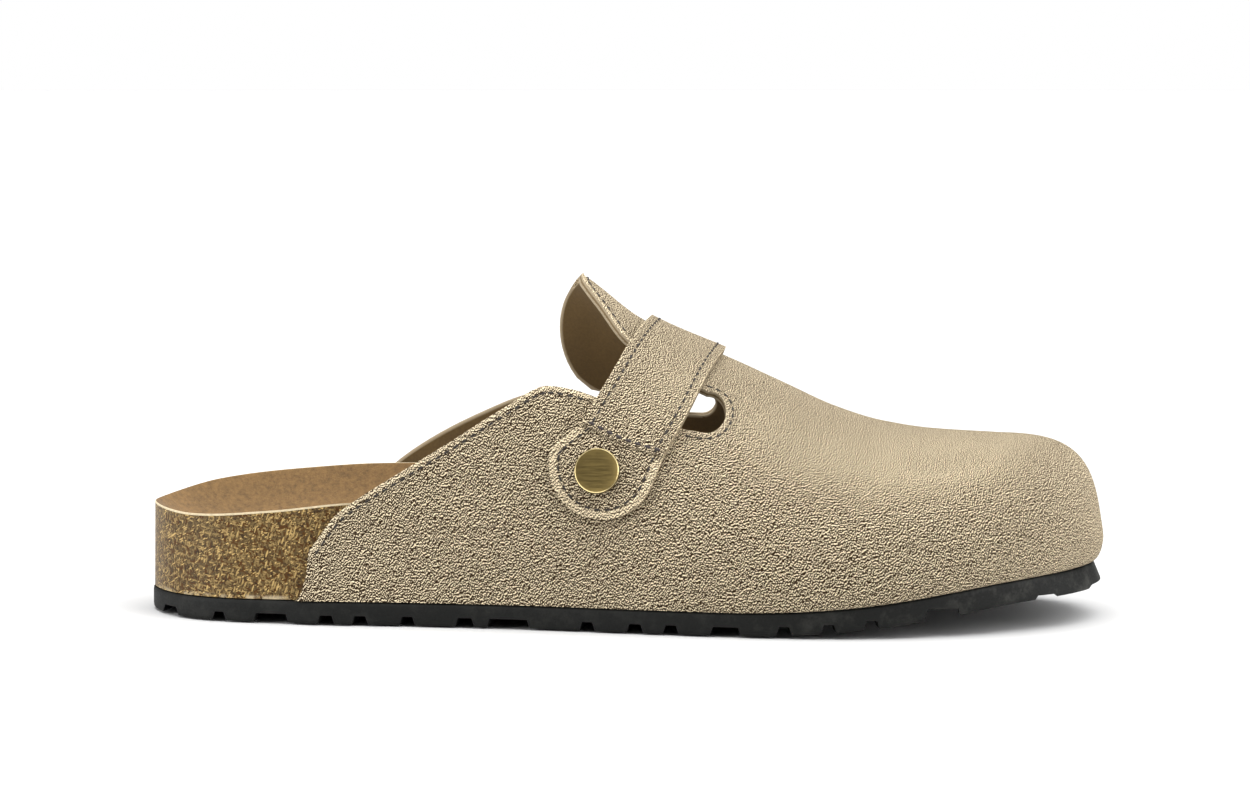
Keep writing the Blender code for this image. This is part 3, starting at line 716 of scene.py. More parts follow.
def search_tree(points):
    """A tree that finds the nearest of the points."""
    tree = KDTree(len(points))
    for i, point in enumerate(points):
        tree.insert(point, i)
    tree.balance()
    return tree


def distances(piece, points, reach):
    """How many millimetres each vertex of a piece is from the nearest point, up to a reach."""
    tree = search_tree(points)
    return np.array([min(tree.find(v.co)[2] / MM, reach) for v in piece.data.vertices])


def mark(piece, name, values):
    """Stores a number on each vertex of a piece for its materials to read."""
    piece.data.attributes.new(name, "FLOAT", "POINT").data.foreach_set("value", values)


def mark_light_way(piece):
    """Stores the way towards the painted light on each vertex: up the surface, and a little to the heel and
    outwards.
    """
    normals = np.array([vertex.normal for vertex in piece.data.vertices])
    # The painted light is taken to come from above, a little from the heel and from the outer side
    towards_light = np.array([-0.25, -0.45, 1.0])
    nap = towards_light - normals * (normals @ towards_light)[:, None]
    lean = np.linalg.norm(nap, axis=1)
    nap *= (smooth_step(0.1, 0.75, lean) / np.maximum(lean, 0.1))[:, None]
    piece.data.attributes.new("nap", "FLOAT_VECTOR", "POINT").data.foreach_set("vector", nap.ravel())


def even_line(line, step):
    """Points at even steps along a line of points."""
    gone = np.append(0, np.cumsum(np.linalg.norm(np.diff(line, axis=0), axis=1)))
    reads = np.linspace(0, gone[-1], max(int(round(gone[-1] / step)), 1) + 1)
    return np.stack([np.interp(reads, gone, line[:, c]) for c in range(line.shape[1])], 1)


def surface_of(piece):
    """A search tree over a piece's faces."""
    graph = bpy.context.evaluated_depsgraph_get()
    return BVHTree.FromObject(piece, graph)


# Materials

def per_mm(size):
    """Scale of a pattern whose marks are this many millimetres across."""
    return 1 / (size * MM)


def add_node(tree, kind, inputs=None, **settings):
    """Adds a node with its settings; inputs holds values, or the sockets that feed it."""
    node = tree.nodes.new(kind)
    for name, value in settings.items():
        setattr(node, name, value)
    for name, value in (inputs or {}).items():
        if isinstance(value, bpy.types.NodeSocket):
            tree.links.new(value, node.inputs[name])
        else:
            node.inputs[name].default_value = value
    return node


def new_finish(name):
    """A named material with its node tree, its shader and its place on the piece."""
    finish = bpy.data.materials.new(name)
    finish.use_nodes = True
    tree = finish.node_tree
    place = add_node(tree, "ShaderNodeTexCoord").outputs["Object"]
    return finish, tree, tree.nodes["Principled BSDF"], place


def opaque(shade):
    return (*shade, 1.0)


def scaled(shade, share):
    return opaque(min(part * share, 1.0) for part in shade)


def suede_taupe(sizes, colours):
    """Suede, brushed: matt tufts with painted light on top and painted shade beneath, and a tan fuzz at the
    rim.
    """
    finish, tree, shader, place = new_finish("brushed_suede")
    # The tufts are drawn a little coarser than life, because the real ones are too fine to show
    tuft_scale = per_mm(sizes.tuft / MM)
    # The colour is painted light: each tuft is compared with the suede a step towards the painted light, and
    # is paler where it faces it
    nap = add_node(tree, "ShaderNodeAttribute", attribute_name="nap").outputs["Vector"]
    above = add_node(
        tree,
        "ShaderNodeVectorMath",
        {0: nap, 1: (0.5 * sizes.tuft,) * 3, 2: place},
        operation="MULTIPLY_ADD",
    ).outputs[0]
    place = add_node(tree, "ShaderNodeMapping", {"Vector": place, "Scale": (1.6, 1.6, 1.0)}).outputs[0]
    above = add_node(tree, "ShaderNodeMapping", {"Vector": above, "Scale": (1.6, 1.6, 1.0)}).outputs[0]
    tufts = add_node(
        tree, "ShaderNodeTexNoise", {"Vector": place, "Scale": tuft_scale, "Detail": 0.0, "Distortion": 0.2}
    ).outputs["Fac"]
    tufts_above = add_node(
        tree, "ShaderNodeTexNoise", {"Vector": above, "Scale": tuft_scale, "Detail": 0.0, "Distortion": 0.2}
    ).outputs["Fac"]
    facing_light = add_node(tree, "ShaderNodeMath", {0: tufts, 1: tufts_above}, operation="SUBTRACT").outputs[0]
    brushing = add_node(
        tree, "ShaderNodeTexNoise", {"Vector": place, "Scale": per_mm(26), "Detail": 3.0, "Roughness": 0.6}
    ).outputs["Fac"]
    edge = add_node(tree, "ShaderNodeAttribute", attribute_name="edge_mm").outputs["Fac"]
    hem = add_node(tree, "ShaderNodeAttribute", attribute_name="hem_mm").outputs["Fac"]
    # The hem beside a cut edge is pressed smooth
    into = add_node(tree, "ShaderNodeMath", {0: edge, 1: hem}, operation="SUBTRACT").outputs[0]
    pressed = add_node(
        tree,
        "ShaderNodeMapRange",
        {"Value": into, "From Min": -0.4, "From Max": 0.4, "To Min": 0.25, "To Max": 1.0},
        interpolation_type="SMOOTHSTEP",
    ).outputs["Result"]
    facing_light = add_node(tree, "ShaderNodeMath", {0: facing_light, 1: pressed}, operation="MULTIPLY").outputs[0]
    paler = add_node(
        tree, "ShaderNodeMapRange", {"Value": pressed, "From Min": 0.25, "To Min": 0.07, "To Max": 0.0}
    ).outputs["Result"]
    facing_light = add_node(tree, "ShaderNodeMath", {0: facing_light, 1: paler}, operation="ADD").outputs[0]
    # On top of the foot the suede is painted paler, for the light that falls on it from above
    lean = add_node(tree, "ShaderNodeVectorMath", {0: nap}, operation="LENGTH").outputs["Value"]
    ends = add_node(
        tree,
        "ShaderNodeMapRange",
        {"Value": lean, "From Min": 0.45, "From Max": 0.95, "To Min": 0.065, "To Max": 0.0},
    ).outputs["Result"]
    facing_light = add_node(tree, "ShaderNodeMath", {0: facing_light, 1: ends}, operation="ADD").outputs[0]
    lit = add_node(
        tree,
        "ShaderNodeMapRange",
        {"Value": facing_light, "From Min": 0.022, "From Max": 0.135, "To Min": 0.0, "To Max": 1.0},
        interpolation_type="SMOOTHSTEP",
    ).outputs["Result"]
    inset = add_node(tree, "ShaderNodeAttribute", attribute_name="seam_mm").outputs["Fac"]
    off_seam = add_node(tree, "ShaderNodeMath", {0: edge, 1: inset}, operation="SUBTRACT").outputs[0]
    off_seam = add_node(tree, "ShaderNodeMath", {0: off_seam}, operation="ABSOLUTE").outputs[0]
    seam = add_node(
        tree,
        "ShaderNodeMapRange",
        {"Value": off_seam, "From Min": 0.1, "From Max": 0.55, "To Min": 1.0, "To Max": 0.0},
        interpolation_type="SMOOTHSTEP",
    ).outputs["Result"]
    # Painted light and shade: pale lit tips where the tufts face the light, painted shade where they face
    # away
    lit_tips = add_node(
        tree,
        "ShaderNodeMix",
        {0: brushing, 6: scaled(colours.suede, 0.92), 7: scaled(colours.suede, 1.08)},
        data_type="RGBA",
    ).outputs[2]
    shaded = add_node(
        tree, "ShaderNodeMix", {0: lit, 6: opaque(colours.suede_painted_shade), 7: lit_tips}, data_type="RGBA"
    ).outputs[2]
    # A faint painted shade darkens the seam's groove
    seam_shade = add_node(tree, "ShaderNodeMath", {0: seam, 1: 0.1}, operation="MULTIPLY").outputs[0]
    sewn = add_node(
        tree, "ShaderNodeMix", {0: seam_shade, 6: shaded, 7: opaque(colours.suede_painted_shade)}, data_type="RGBA"
    ).outputs[2]
    tree.links.new(sewn, shader.inputs["Base Color"])
    shader.inputs["Roughness"].default_value = 0.92
    shader.inputs["Specular IOR Level"].default_value = 0.1
    shader.inputs["Sheen Weight"].default_value = 0.35
    shader.inputs["Sheen Roughness"].default_value = 0.4
    shader.inputs["Sheen Tint"].default_value = (1.0, 0.82, 0.58, 1.0)
    relief = add_node(tree, "ShaderNodeMath", {0: tufts, 1: 0.5}, operation="SUBTRACT").outputs[0]
    relief = add_node(tree, "ShaderNodeMath", {0: relief, 1: pressed}, operation="MULTIPLY").outputs[0]
    grain = add_node(
        tree, "ShaderNodeBump", {"Strength": 1.0, "Distance": 1.0 * MM, "Height": relief}
    ).outputs["Normal"]
    sunk = add_node(
        tree,
        "ShaderNodeBump",
        {"Strength": 0.5, "Distance": 0.3 * MM, "Height": seam, "Normal": grain},
        invert=True,
    ).outputs["Normal"]
    tree.links.new(sunk, shader.inputs["Normal"])
    return finish


def suede_flesh_side(colours):
    """Suede, flesh side: dark and smooth with a faint fibre."""
    finish, tree, shader, place = new_finish("suede_flesh_side")
    fibre = add_node(
        tree, "ShaderNodeTexNoise", {"Vector": place, "Scale": per_mm(0.7), "Detail": 3.0}
    ).outputs["Fac"]
    wear = add_node(
        tree, "ShaderNodeTexNoise", {"Vector": place, "Scale": per_mm(22), "Detail": 2.0}
    ).outputs["Fac"]
    blend = add_node(tree, "ShaderNodeMix", {0: 0.5, 2: fibre, 3: wear}, data_type="FLOAT").outputs[0]
    shade = add_node(
        tree,
        "ShaderNodeMix",
        {0: blend, 6: scaled(colours.flesh, 0.4), 7: scaled(colours.flesh, 1.65)},
        data_type="RGBA",
    ).outputs[2]
    # The cut edge is turned in a little, so that a pale rim shows above the brown
    depth = add_node(tree, "ShaderNodeAttribute", attribute_name="edge_mm").outputs["Fac"]
    turned = add_node(
        tree,
        "ShaderNodeMapRange",
        {"Value": depth, "From Min": 2.05, "From Max": 2.3, "To Min": 1.0, "To Max": 0.0},
        interpolation_type="SMOOTHSTEP",
    ).outputs["Result"]
    shade = add_node(
        tree, "ShaderNodeMix", {0: turned, 6: shade, 7: opaque(colours.cut_edge)}, data_type="RGBA"
    ).outputs[2]
    tree.links.new(shade, shader.inputs["Base Color"])
    shader.inputs["Roughness"].default_value = 0.85
    shader.inputs["Sheen Weight"].default_value = 0.1
    grain = add_node(
        tree, "ShaderNodeBump", {"Strength": 0.5, "Distance": 0.15 * MM, "Height": fibre}
    ).outputs["Normal"]
    tree.links.new(grain, shader.inputs["Normal"])
    return finish


def suede_cut_edge(colours):
    """Suede, cut through: two pale fibrous layers with a brown line of glue between them."""
    finish, tree, shader, place = new_finish("suede_cut_edge")
    fibre = add_node(
        tree, "ShaderNodeTexNoise", {"Vector": place, "Scale": per_mm(0.5), "Detail": 2.0}
    ).outputs["Fac"]
    shade = add_node(
        tree,
        "ShaderNodeMix",
        {0: fibre, 6: scaled(colours.cut_edge, 0.4), 7: scaled(colours.cut_edge, 1.0)},
        data_type="RGBA",
    ).outputs[2]
    depth = add_node(tree, "ShaderNodeAttribute", attribute_name="edge_mm").outputs["Fac"]
    depth = add_node(
        tree, "ShaderNodeMath", {0: fibre, 1: 0.5, 2: depth}, operation="MULTIPLY_ADD"
    ).outputs[0]
    off_glue = add_node(tree, "ShaderNodeMath", {0: depth, 1: 1.3}, operation="SUBTRACT").outputs[0]
    off_glue = add_node(tree, "ShaderNodeMath", {0: off_glue}, operation="ABSOLUTE").outputs[0]
    glue = add_node(
        tree,
        "ShaderNodeMapRange",
        {"Value": off_glue, "From Min": 0.15, "From Max": 0.45, "To Min": 0.8, "To Max": 0.0},
        interpolation_type="SMOOTHSTEP",
    ).outputs["Result"]
    shade = add_node(
        tree, "ShaderNodeMix", {0: glue, 6: shade, 7: opaque(colours.flesh)}, data_type="RGBA"
    ).outputs[2]
    tree.links.new(shade, shader.inputs["Base Color"])
    shader.inputs["Roughness"].default_value = 0.9
    grain = add_node(
        tree, "ShaderNodeBump", {"Strength": 0.7, "Distance": 0.2 * MM, "Height": fibre}
    ).outputs["Normal"]
    tree.links.new(grain, shader.inputs["Normal"])
    return finish


def sewing_thread(name, thread):
    """Polyester thread: a fine twist with a faint gloss."""
    finish, tree, shader, place = new_finish(name)
    twist = add_node(
        tree, "ShaderNodeTexNoise", {"Vector": place, "Scale": per_mm(0.3), "Detail": 1.0}
    ).outputs["Fac"]
    shade = add_node(
        tree,
        "ShaderNodeMix",
        {0: twist, 6: scaled(thread, 0.75), 7: scaled(thread, 1.2)},
        data_type="RGBA",
    ).outputs[2]
    tree.links.new(shade, shader.inputs["Base Color"])
    shader.inputs["Roughness"].default_value = 0.6
    grain = add_node(
        tree, "ShaderNodeBump", {"Strength": 0.5, "Distance": 0.08 * MM, "Height": twist}
    ).outputs["Normal"]
    tree.links.new(grain, shader.inputs["Normal"])
    return finish


def cork(sizes, colours):
    """Cork granulate, sanded and sealed: slivers of many browns that lie all ways, under a thin gloss."""
    finish, tree, shader, place = new_finish("cork_granulate")
    flake_size = sizes.flake / MM
    fine = add_node(
        tree, "ShaderNodeTexNoise", {"Vector": place, "Scale": per_mm(0.6), "Detail": 3.0, "Roughness": 0.6}
    )
    wobbled = add_node(
        tree,
        "ShaderNodeVectorMath",
        {0: fine.outputs["Color"], 1: (0.1 * MM,) * 3, 2: place},
        operation="MULTIPLY_ADD",
    ).outputs[0]
    shade = add_node(
        tree,
        "ShaderNodeMix",
        {0: fine.outputs["Fac"], 6: scaled(colours.cork_ground, 0.5), 7: scaled(colours.cork_ground, 1.3)},
        data_type="RGBA",
    ).outputs[2]
    # Each layer of slivers is turned and stretched another way: turn, stretch, how rare, how pale
    layers = (
        ((0.3, 0.2, 0.1), (0.7, 0.36, 0.32), 0.2, 0.16),
        ((0.5, 1.25, 0.4), (0.8, 0.28, 0.22), 0.45, 0.3),
        ((-0.4, -0.7, 0.9), (0.9, 0.22, 0.18), 0.58, 0.42),
        ((0.9, 0.2, -0.5), (0.9, 0.2, 0.16), 0.68, 0.6),
        ((-0.8, 1.9, 0.3), (1.0, 0.18, 0.14), 0.76, 0.8),
        ((0.2, -0.4, -0.9), (1.1, 0.17, 0.13), 0.84, 1.1),
    )
    height = fine.outputs["Fac"]
    for turn, stretch, rare, pale in layers:
        lain = add_node(
            tree,
            "ShaderNodeMapping",
            {"Vector": wobbled, "Rotation": turn, "Scale": stretch},
            vector_type="TEXTURE",
        ).outputs["Vector"]
        cells = add_node(
            tree,
            "ShaderNodeTexVoronoi",
            {"Vector": lain, "Scale": per_mm(flake_size), "Randomness": 1.0},
            feature="F1",
        )
        chance = add_node(tree, "ShaderNodeSeparateColor", {0: cells.outputs["Color"]})
        chosen = add_node(
            tree, "ShaderNodeMath", {0: chance.outputs[0], 1: rare}, operation="GREATER_THAN"
        ).outputs[0]
        core = add_node(
            tree,
            "ShaderNodeMapRange",
            {
                "Value": cells.outputs["Distance"],
                "From Min": 0.5,
                "From Max": 0.57,
                "To Min": 1.0,
                "To Max": 0.0,
            },
            interpolation_type="SMOOTHSTEP",
        ).outputs["Result"]
        mask = add_node(tree, "ShaderNodeMath", {0: chosen, 1: core}, operation="MULTIPLY").outputs[0]
        tone = add_node(
            tree, "ShaderNodeMath", {0: chance.outputs[1], 1: pale}, operation="MULTIPLY"
        ).outputs[0]
        tone = add_node(
            tree,
            "ShaderNodeMix",
            {0: tone, 6: opaque(colours.cork_speck), 7: opaque(colours.cork_flake)},
            data_type="RGBA",
        ).outputs[2]
        shade = add_node(
            tree, "ShaderNodeMix", {0: mask, 6: shade, 7: tone}, data_type="RGBA"
        ).outputs[2]
        lift = add_node(
            tree, "ShaderNodeMath", {0: mask, 1: chance.outputs[2]}, operation="MULTIPLY"
        ).outputs[0]
        height = add_node(
            tree, "ShaderNodeMath", {0: lift, 1: 0.5, 2: height}, operation="MULTIPLY_ADD"
        ).outputs[0]
    # Dried glue shows in places along the joint with the sole
    high = add_node(tree, "ShaderNodeSeparateXYZ", {0: place}).outputs["Z"]
    joint = (SOLE_THICKNESS + GAP) * MM
    low = add_node(
        tree,
        "ShaderNodeMapRange",
        {
            "Value": high,
            "From Min": joint + 0.5 * MM,
            "From Max": joint + 1.3 * MM,
            "To Min": 0.6,
            "To Max": 0.0,
        },
    ).outputs["Result"]
    smear = add_node(
        tree, "ShaderNodeTexNoise", {"Vector": place, "Scale": per_mm(7), "Detail": 4.0, "Roughness": 0.7}
    ).outputs["Fac"]
    smear = add_node(
        tree,
        "ShaderNodeMapRange",
        {"Value": smear, "From Min": 0.5, "From Max": 0.62, "To Min": 0.0, "To Max": 1.0},
    ).outputs["Result"]
    glue = add_node(tree, "ShaderNodeMath", {0: low, 1: smear}, operation="MULTIPLY").outputs[0]
    shade = add_node(
        tree, "ShaderNodeMix", {0: glue, 6: shade, 7: opaque(colours.rim)}, data_type="RGBA"
    ).outputs[2]
    tree.links.new(shade, shader.inputs["Base Color"])
    shader.inputs["Roughness"].default_value = 0.5
    shader.inputs["Specular IOR Level"].default_value = 0.15
    shader.inputs["Coat Weight"].default_value = 0.1
    shader.inputs["Coat Roughness"].default_value = 0.3
    grain = add_node(
        tree, "ShaderNodeBump", {"Strength": 0.7, "Distance": 0.2 * MM, "Height": height}
    ).outputs["Normal"]
    tree.links.new(grain, shader.inputs["Normal"])
    return finish


def suede_tan(colours):
    """Suede, tan lining: very fine even nap with faint brushing."""
    finish, tree, shader, place = new_finish("tan_suede")
    nap = add_node(
        tree, "ShaderNodeTexNoise", {"Vector": place, "Scale": per_mm(0.5), "Detail": 2.0, "Roughness": 0.65}
    ).outputs["Fac"]
    brushing = add_node(
        tree, "ShaderNodeTexNoise", {"Vector": place, "Scale": per_mm(18), "Detail": 3.0}
    ).outputs["Fac"]
    speckle = add_node(
        tree, "ShaderNodeTexNoise", {"Vector": place, "Scale": per_mm(1.6), "Detail": 3.0, "Roughness": 0.7}
    ).outputs["Fac"]
    speckle = add_node(
        tree, "ShaderNodeMapRange", {"Value": speckle, "From Min": 0.3, "From Max": 0.7}
    ).outputs["Result"]
    nap_tone = add_node(tree, "ShaderNodeMix", {0: 0.5, 2: nap, 3: speckle}, data_type="FLOAT").outputs[0]
    blend = add_node(tree, "ShaderNodeMix", {0: 0.35, 2: nap_tone, 3: brushing}, data_type="FLOAT").outputs[0]
    shade = add_node(
        tree,
        "ShaderNodeMix",
        {0: blend, 6: scaled(colours.insole, 0.1), 7: scaled(colours.insole, 1.95)},
        data_type="RGBA",
    ).outputs[2]
    tree.links.new(shade, shader.inputs["Base Color"])
    shader.inputs["Roughness"].default_value = 0.92
    shader.inputs["Sheen Weight"].default_value = 0.2
    shader.inputs["Sheen Roughness"].default_value = 0.45
    grain = add_node(
        tree, "ShaderNodeBump", {"Strength": 0.8, "Distance": 0.2 * MM, "Height": nap}
    ).outputs["Normal"]
    tree.links.new(grain, shader.inputs["Normal"])
    return finish


def suede_rim(colours):
    """Lining cut flush with the rim: pale jute and suede layers seen end on."""
    finish, tree, shader, place = new_finish("tan_suede_rim")
    fibre = add_node(
        tree, "ShaderNodeTexNoise", {"Vector": place, "Scale": per_mm(0.9), "Detail": 2.0}
    ).outputs["Fac"]
    shade = add_node(
        tree,
        "ShaderNodeMix",
        {0: fibre, 6: scaled(colours.rim, 0.6), 7: scaled(colours.rim, 1.3)},
        data_type="RGBA",
    ).outputs[2]
    tree.links.new(shade, shader.inputs["Base Color"])
    shader.inputs["Roughness"].default_value = 0.8
    grain = add_node(
        tree, "ShaderNodeBump", {"Strength": 0.5, "Distance": 0.15 * MM, "Height": fibre}
    ).outputs["Normal"]
    tree.links.new(grain, shader.inputs["Normal"])
    return finish


def foam_rubber_black(colours):
    """Foam rubber, moulded: near black, softly matt, with pale dust that gathers towards the toe."""
    finish, tree, shader, place = new_finish("black_foam_rubber")
    pores = add_node(
        tree, "ShaderNodeTexNoise", {"Vector": place, "Scale": per_mm(0.5), "Detail": 2.0}
    ).outputs["Fac"]
    dust = add_node(
        tree, "ShaderNodeTexNoise", {"Vector": place, "Scale": per_mm(7), "Detail": 5.0, "Roughness": 0.7}
    ).outputs["Fac"]
    along = add_node(tree, "ShaderNodeSeparateXYZ", {0: place}).outputs["X"]
    toe = add_node(
        tree,
        "ShaderNodeMapRange",
        {"Value": along, "From Min": 0.02, "From Max": 0.12, "To Min": 0.25, "To Max": 0.75},
    ).outputs["Result"]
    dust = add_node(
        tree,
        "ShaderNodeMapRange",
        {"Value": dust, "From Min": 0.48, "From Max": 0.72, "To Min": 0.0, "To Max": 1.0},
    ).outputs["Result"]
    dust = add_node(tree, "ShaderNodeMath", {0: dust, 1: toe}, operation="MULTIPLY").outputs[0]
    shade = add_node(
        tree,
        "ShaderNodeMix",
        {0: dust, 6: opaque(colours.rubber), 7: opaque(colours.scuff)},
        data_type="RGBA",
    ).outputs[2]
    tree.links.new(shade, shader.inputs["Base Color"])
    rough = add_node(
        tree,
        "ShaderNodeMapRange",
        {"Value": pores, "From Min": 0.3, "From Max": 0.7, "To Min": 0.55, "To Max": 0.72},
    ).outputs["Result"]
    tree.links.new(rough, shader.inputs["Roughness"])
    shader.inputs["Specular IOR Level"].default_value = 0.22
    grain = add_node(
        tree, "ShaderNodeBump", {"Strength": 0.4, "Distance": 0.08 * MM, "Height": pores}
    ).outputs["Normal"]
    tree.links.new(grain, shader.inputs["Normal"])
    return finish


def antique_brass(colours):
    """Brass, brushed and darkened with age: fine level lines and an olive cast."""
    finish, tree, shader, place = new_finish("aged_brass")
    drawn = add_node(
        tree, "ShaderNodeMapping", {"Vector": place, "Scale": (0.05, 0.3, 1.0)}
    ).outputs["Vector"]
    lines = add_node(
        tree, "ShaderNodeTexNoise", {"Vector": drawn, "Scale": per_mm(0.35), "Detail": 2.0}
    ).outputs["Fac"]
    tarnish = add_node(
        tree, "ShaderNodeTexNoise", {"Vector": place, "Scale": per_mm(3), "Detail": 3.0}
    ).outputs["Fac"]
    blend = add_node(tree, "ShaderNodeMix", {0: 0.4, 2: lines, 3: tarnish}, data_type="FLOAT").outputs[0]
    shade = add_node(
        tree,
        "ShaderNodeMix",
        {0: blend, 6: scaled(colours.brass, 0.6), 7: scaled(colours.brass, 1.4)},
        data_type="RGBA",
    ).outputs[2]
    tree.links.new(shade, shader.inputs["Base Color"])
    shader.inputs["Metallic"].default_value = 1.0
    rough = add_node(
        tree,
        "ShaderNodeMapRange",
        {"Value": lines, "From Min": 0.3, "From Max": 0.7, "To Min": 0.35, "To Max": 0.5},
    ).outputs["Result"]
    tree.links.new(rough, shader.inputs["Roughness"])
    grain = add_node(
        tree, "ShaderNodeBump", {"Strength": 0.25, "Distance": 0.05 * MM, "Height": lines}
    ).outputs["Normal"]
    tree.links.new(grain, shader.inputs["Normal"])
    return finish


def polished_brass(colours):
    """Brass, rubbed bright where fingers touch the rim of the stud."""
    finish, tree, shader, place = new_finish("rubbed_brass")
    rub = add_node(
        tree, "ShaderNodeTexNoise", {"Vector": place, "Scale": per_mm(1.5), "Detail": 3.0}
    ).outputs["Fac"]
    shade = add_node(
        tree,
        "ShaderNodeMix",
        {0: rub, 6: scaled(colours.brass_rim, 0.75), 7: scaled(colours.brass_rim, 1.15)},
        data_type="RGBA",
    ).outputs[2]
    tree.links.new(shade, shader.inputs["Base Color"])
    shader.inputs["Metallic"].default_value = 1.0
    rough = add_node(
        tree,
        "ShaderNodeMapRange",
        {"Value": rub, "From Min": 0.3, "From Max": 0.7, "To Min": 0.16, "To Max": 0.3},
    ).outputs["Result"]
    tree.links.new(rough, shader.inputs["Roughness"])
    return finish


def studio_floor(colours):
    """Painted studio floor: even and pale, with a trace of roller texture."""
    finish, tree, shader, place = new_finish("studio_floor")
    roller = add_node(
        tree, "ShaderNodeTexNoise", {"Vector": place, "Scale": per_mm(3), "Detail": 2.0}
    ).outputs["Fac"]
    shade = add_node(
        tree,
        "ShaderNodeMix",
        {0: roller, 6: scaled(colours.floor, 0.99), 7: scaled(colours.floor, 1.01)},
        data_type="RGBA",
    ).outputs[2]
    tree.links.new(shade, shader.inputs["Base Color"])
    shader.inputs["Roughness"].default_value = 0.9
    shader.inputs["Specular IOR Level"].default_value = 0.1
    return finish


# Pieces

class CLOG_OT_outsole(bpy.types.Operator):
    """Moulded foam sole with toe spring, rounded edges, a waved tread and its two rest bars"""

    bl_idname = "clog.outsole"
    bl_label = "Outsole"

    def execute(self, context):
        ribs = plan_ribs(SOLE_OUTLINE)
        x, y, middle_x, middle_y = ribs
        # Side profile from the top edge to the foot: how far in, and the share of the sole's height
        profile = [
            (0.9, 1.0),
            (0.35, 0.985),
            (0.08, 0.93),
            (0.0, 0.8),
            (0.0, 0.5),
            (0.0, 0.2),
            (0.1, 0.07),
            (0.4, 0.0),
        ]
        reach = np.hypot(x - middle_x, y - middle_y)
        out_x, out_y = (x - middle_x) / reach, (y - middle_y) / reach
        columns = [np.stack([middle_x, middle_y, sole_top(middle_x)], -1)]
        flare = TOE_FLARE * smooth_step(FLARE_START, FOOTBED_LENGTH, x)
        for inset, share in profile:
            top, foot = sole_top(x), tread_foot(x)
            out = flare * (1 - share) - inset
            columns.append(np.stack([x + out_x * out, y + out_y * out, foot + (top - foot) * share], -1))
        columns.append(np.stack([middle_x, middle_y, tread_foot(middle_x)], -1))
        sole = weld(lay_grid("foam_outsole", np.stack(columns, 1)))
        for helper, operation in ((self.grooves(), "DIFFERENCE"), (self.rest_bars(), "UNION")):
            finish_with(sole, "BOOLEAN", operation=operation, solver="EXACT", object=helper)
            bpy.data.objects.remove(helper)
        dress(sole, foam_rubber_black(context.scene.clog_colours))
        smooth_faces(sole, 35)
        settle(sole, "outsole")
        return {"FINISHED"}

    def grooves(self):
        """All grooves as one set of waved bars, flared towards the floor."""
        reach = 0.75 * BALL_WIDTH
        steps = 2 * math.ceil(2 * reach / GROOVE_PITCH)
        y = np.linspace(-reach, reach, steps + 1)
        wave = GROOVE_WAVE * np.where(np.arange(steps + 1) % 2, 0.5, -0.5)
        bars = []
        for groove in GROOVES:
            top = tread_foot(groove.x) + groove.depth
            foot = tread_foot(groove.x - groove.width) - groove.depth - 1
            near, far = groove.width / 2, groove.width / 2 + GROOVE_FLARE * 2
            ring = [(0, top), (near, top), (far, foot), (0, foot), (-far, foot), (-near, top), (0, top)]
            columns = [np.stack([groove.x + wave + dx, y, np.full_like(y, z)], -1) for dx, z in ring]
            bars.append(lay_grid("groove", np.stack(columns, 1)))
        pick(*bars)
        bpy.ops.object.join()
        bpy.ops.object.mode_set(mode="EDIT")
        bpy.ops.mesh.select_all(action="SELECT")
        bpy.ops.mesh.remove_doubles(threshold=MERGE_GAP * MM)
        bpy.ops.mesh.select_all(action="DESELECT")
        bpy.ops.mesh.select_mode(type="EDGE")
        bpy.ops.mesh.select_non_manifold()
        bpy.ops.mesh.fill_holes(sides=0)
        bpy.ops.mesh.select_all(action="SELECT")
        bpy.ops.mesh.normals_make_consistent(inside=False)
        bpy.ops.mesh.select_mode(type="VERT")
        bpy.ops.object.mode_set(mode="OBJECT")
        return bars[0]

    def rest_bars(self):
        """The bars that the shoe stands on, sunk into the lugs that carry them."""
        bars = []
        for bar in REST_BARS:
            size = np.array([bar.width, bar.medial - bar.lateral, REST_HEIGHT + 1.0])
            middle = in_frame((bar.x, (bar.medial + bar.lateral) / 2, size[2] / 2))
            bpy.ops.object.select_all(action="DESELECT")
            bpy.ops.mesh.primitive_cube_add(size=1, location=middle, scale=size * MM)
            bpy.ops.object.transform_apply(location=True, rotation=False, scale=True)
            bars.append(bpy.context.object)
        pick(*bars)
        bpy.ops.object.join()
        return bars[0]


class CLOG_OT_cork_footbed(bpy.types.Operator):
    """Cork footbed with an upright sanded side, a cupped heel, a raised arch and a flat forefoot"""

    bl_idname = "clog.cork_footbed"
    bl_label = "Cork footbed"

    def execute(self, context):
        ribs = plan_ribs(FOOTBED_OUTLINE)
        x, y, middle_x, middle_y = ribs
        top = footbed_points(ribs, [1.0, 0.985, 0.96, 0.92, 0.86, 0.78, 0.68, 0.55, 0.4, 0.2, 0.0], 0.0)
        foot = np.stack([x, y, sole_top(x) + GAP], -1)
        side = [foot + (top[:, 0] - foot) * t for t in np.linspace(0, 1, 13)[:-1]]
        middle = np.stack([middle_x, middle_y, sole_top(middle_x) + GAP], -1)
        rows = np.concatenate([np.stack([middle, *side], 1), top], 1)
        bed = weld(lay_grid("cork_bed", rows))
        dress(bed, cork(context.scene.clog_sizes, context.scene.clog_colours))
        smooth_faces(bed, 40)
        settle(bed, "cork_footbed")
        return {"FINISHED"}


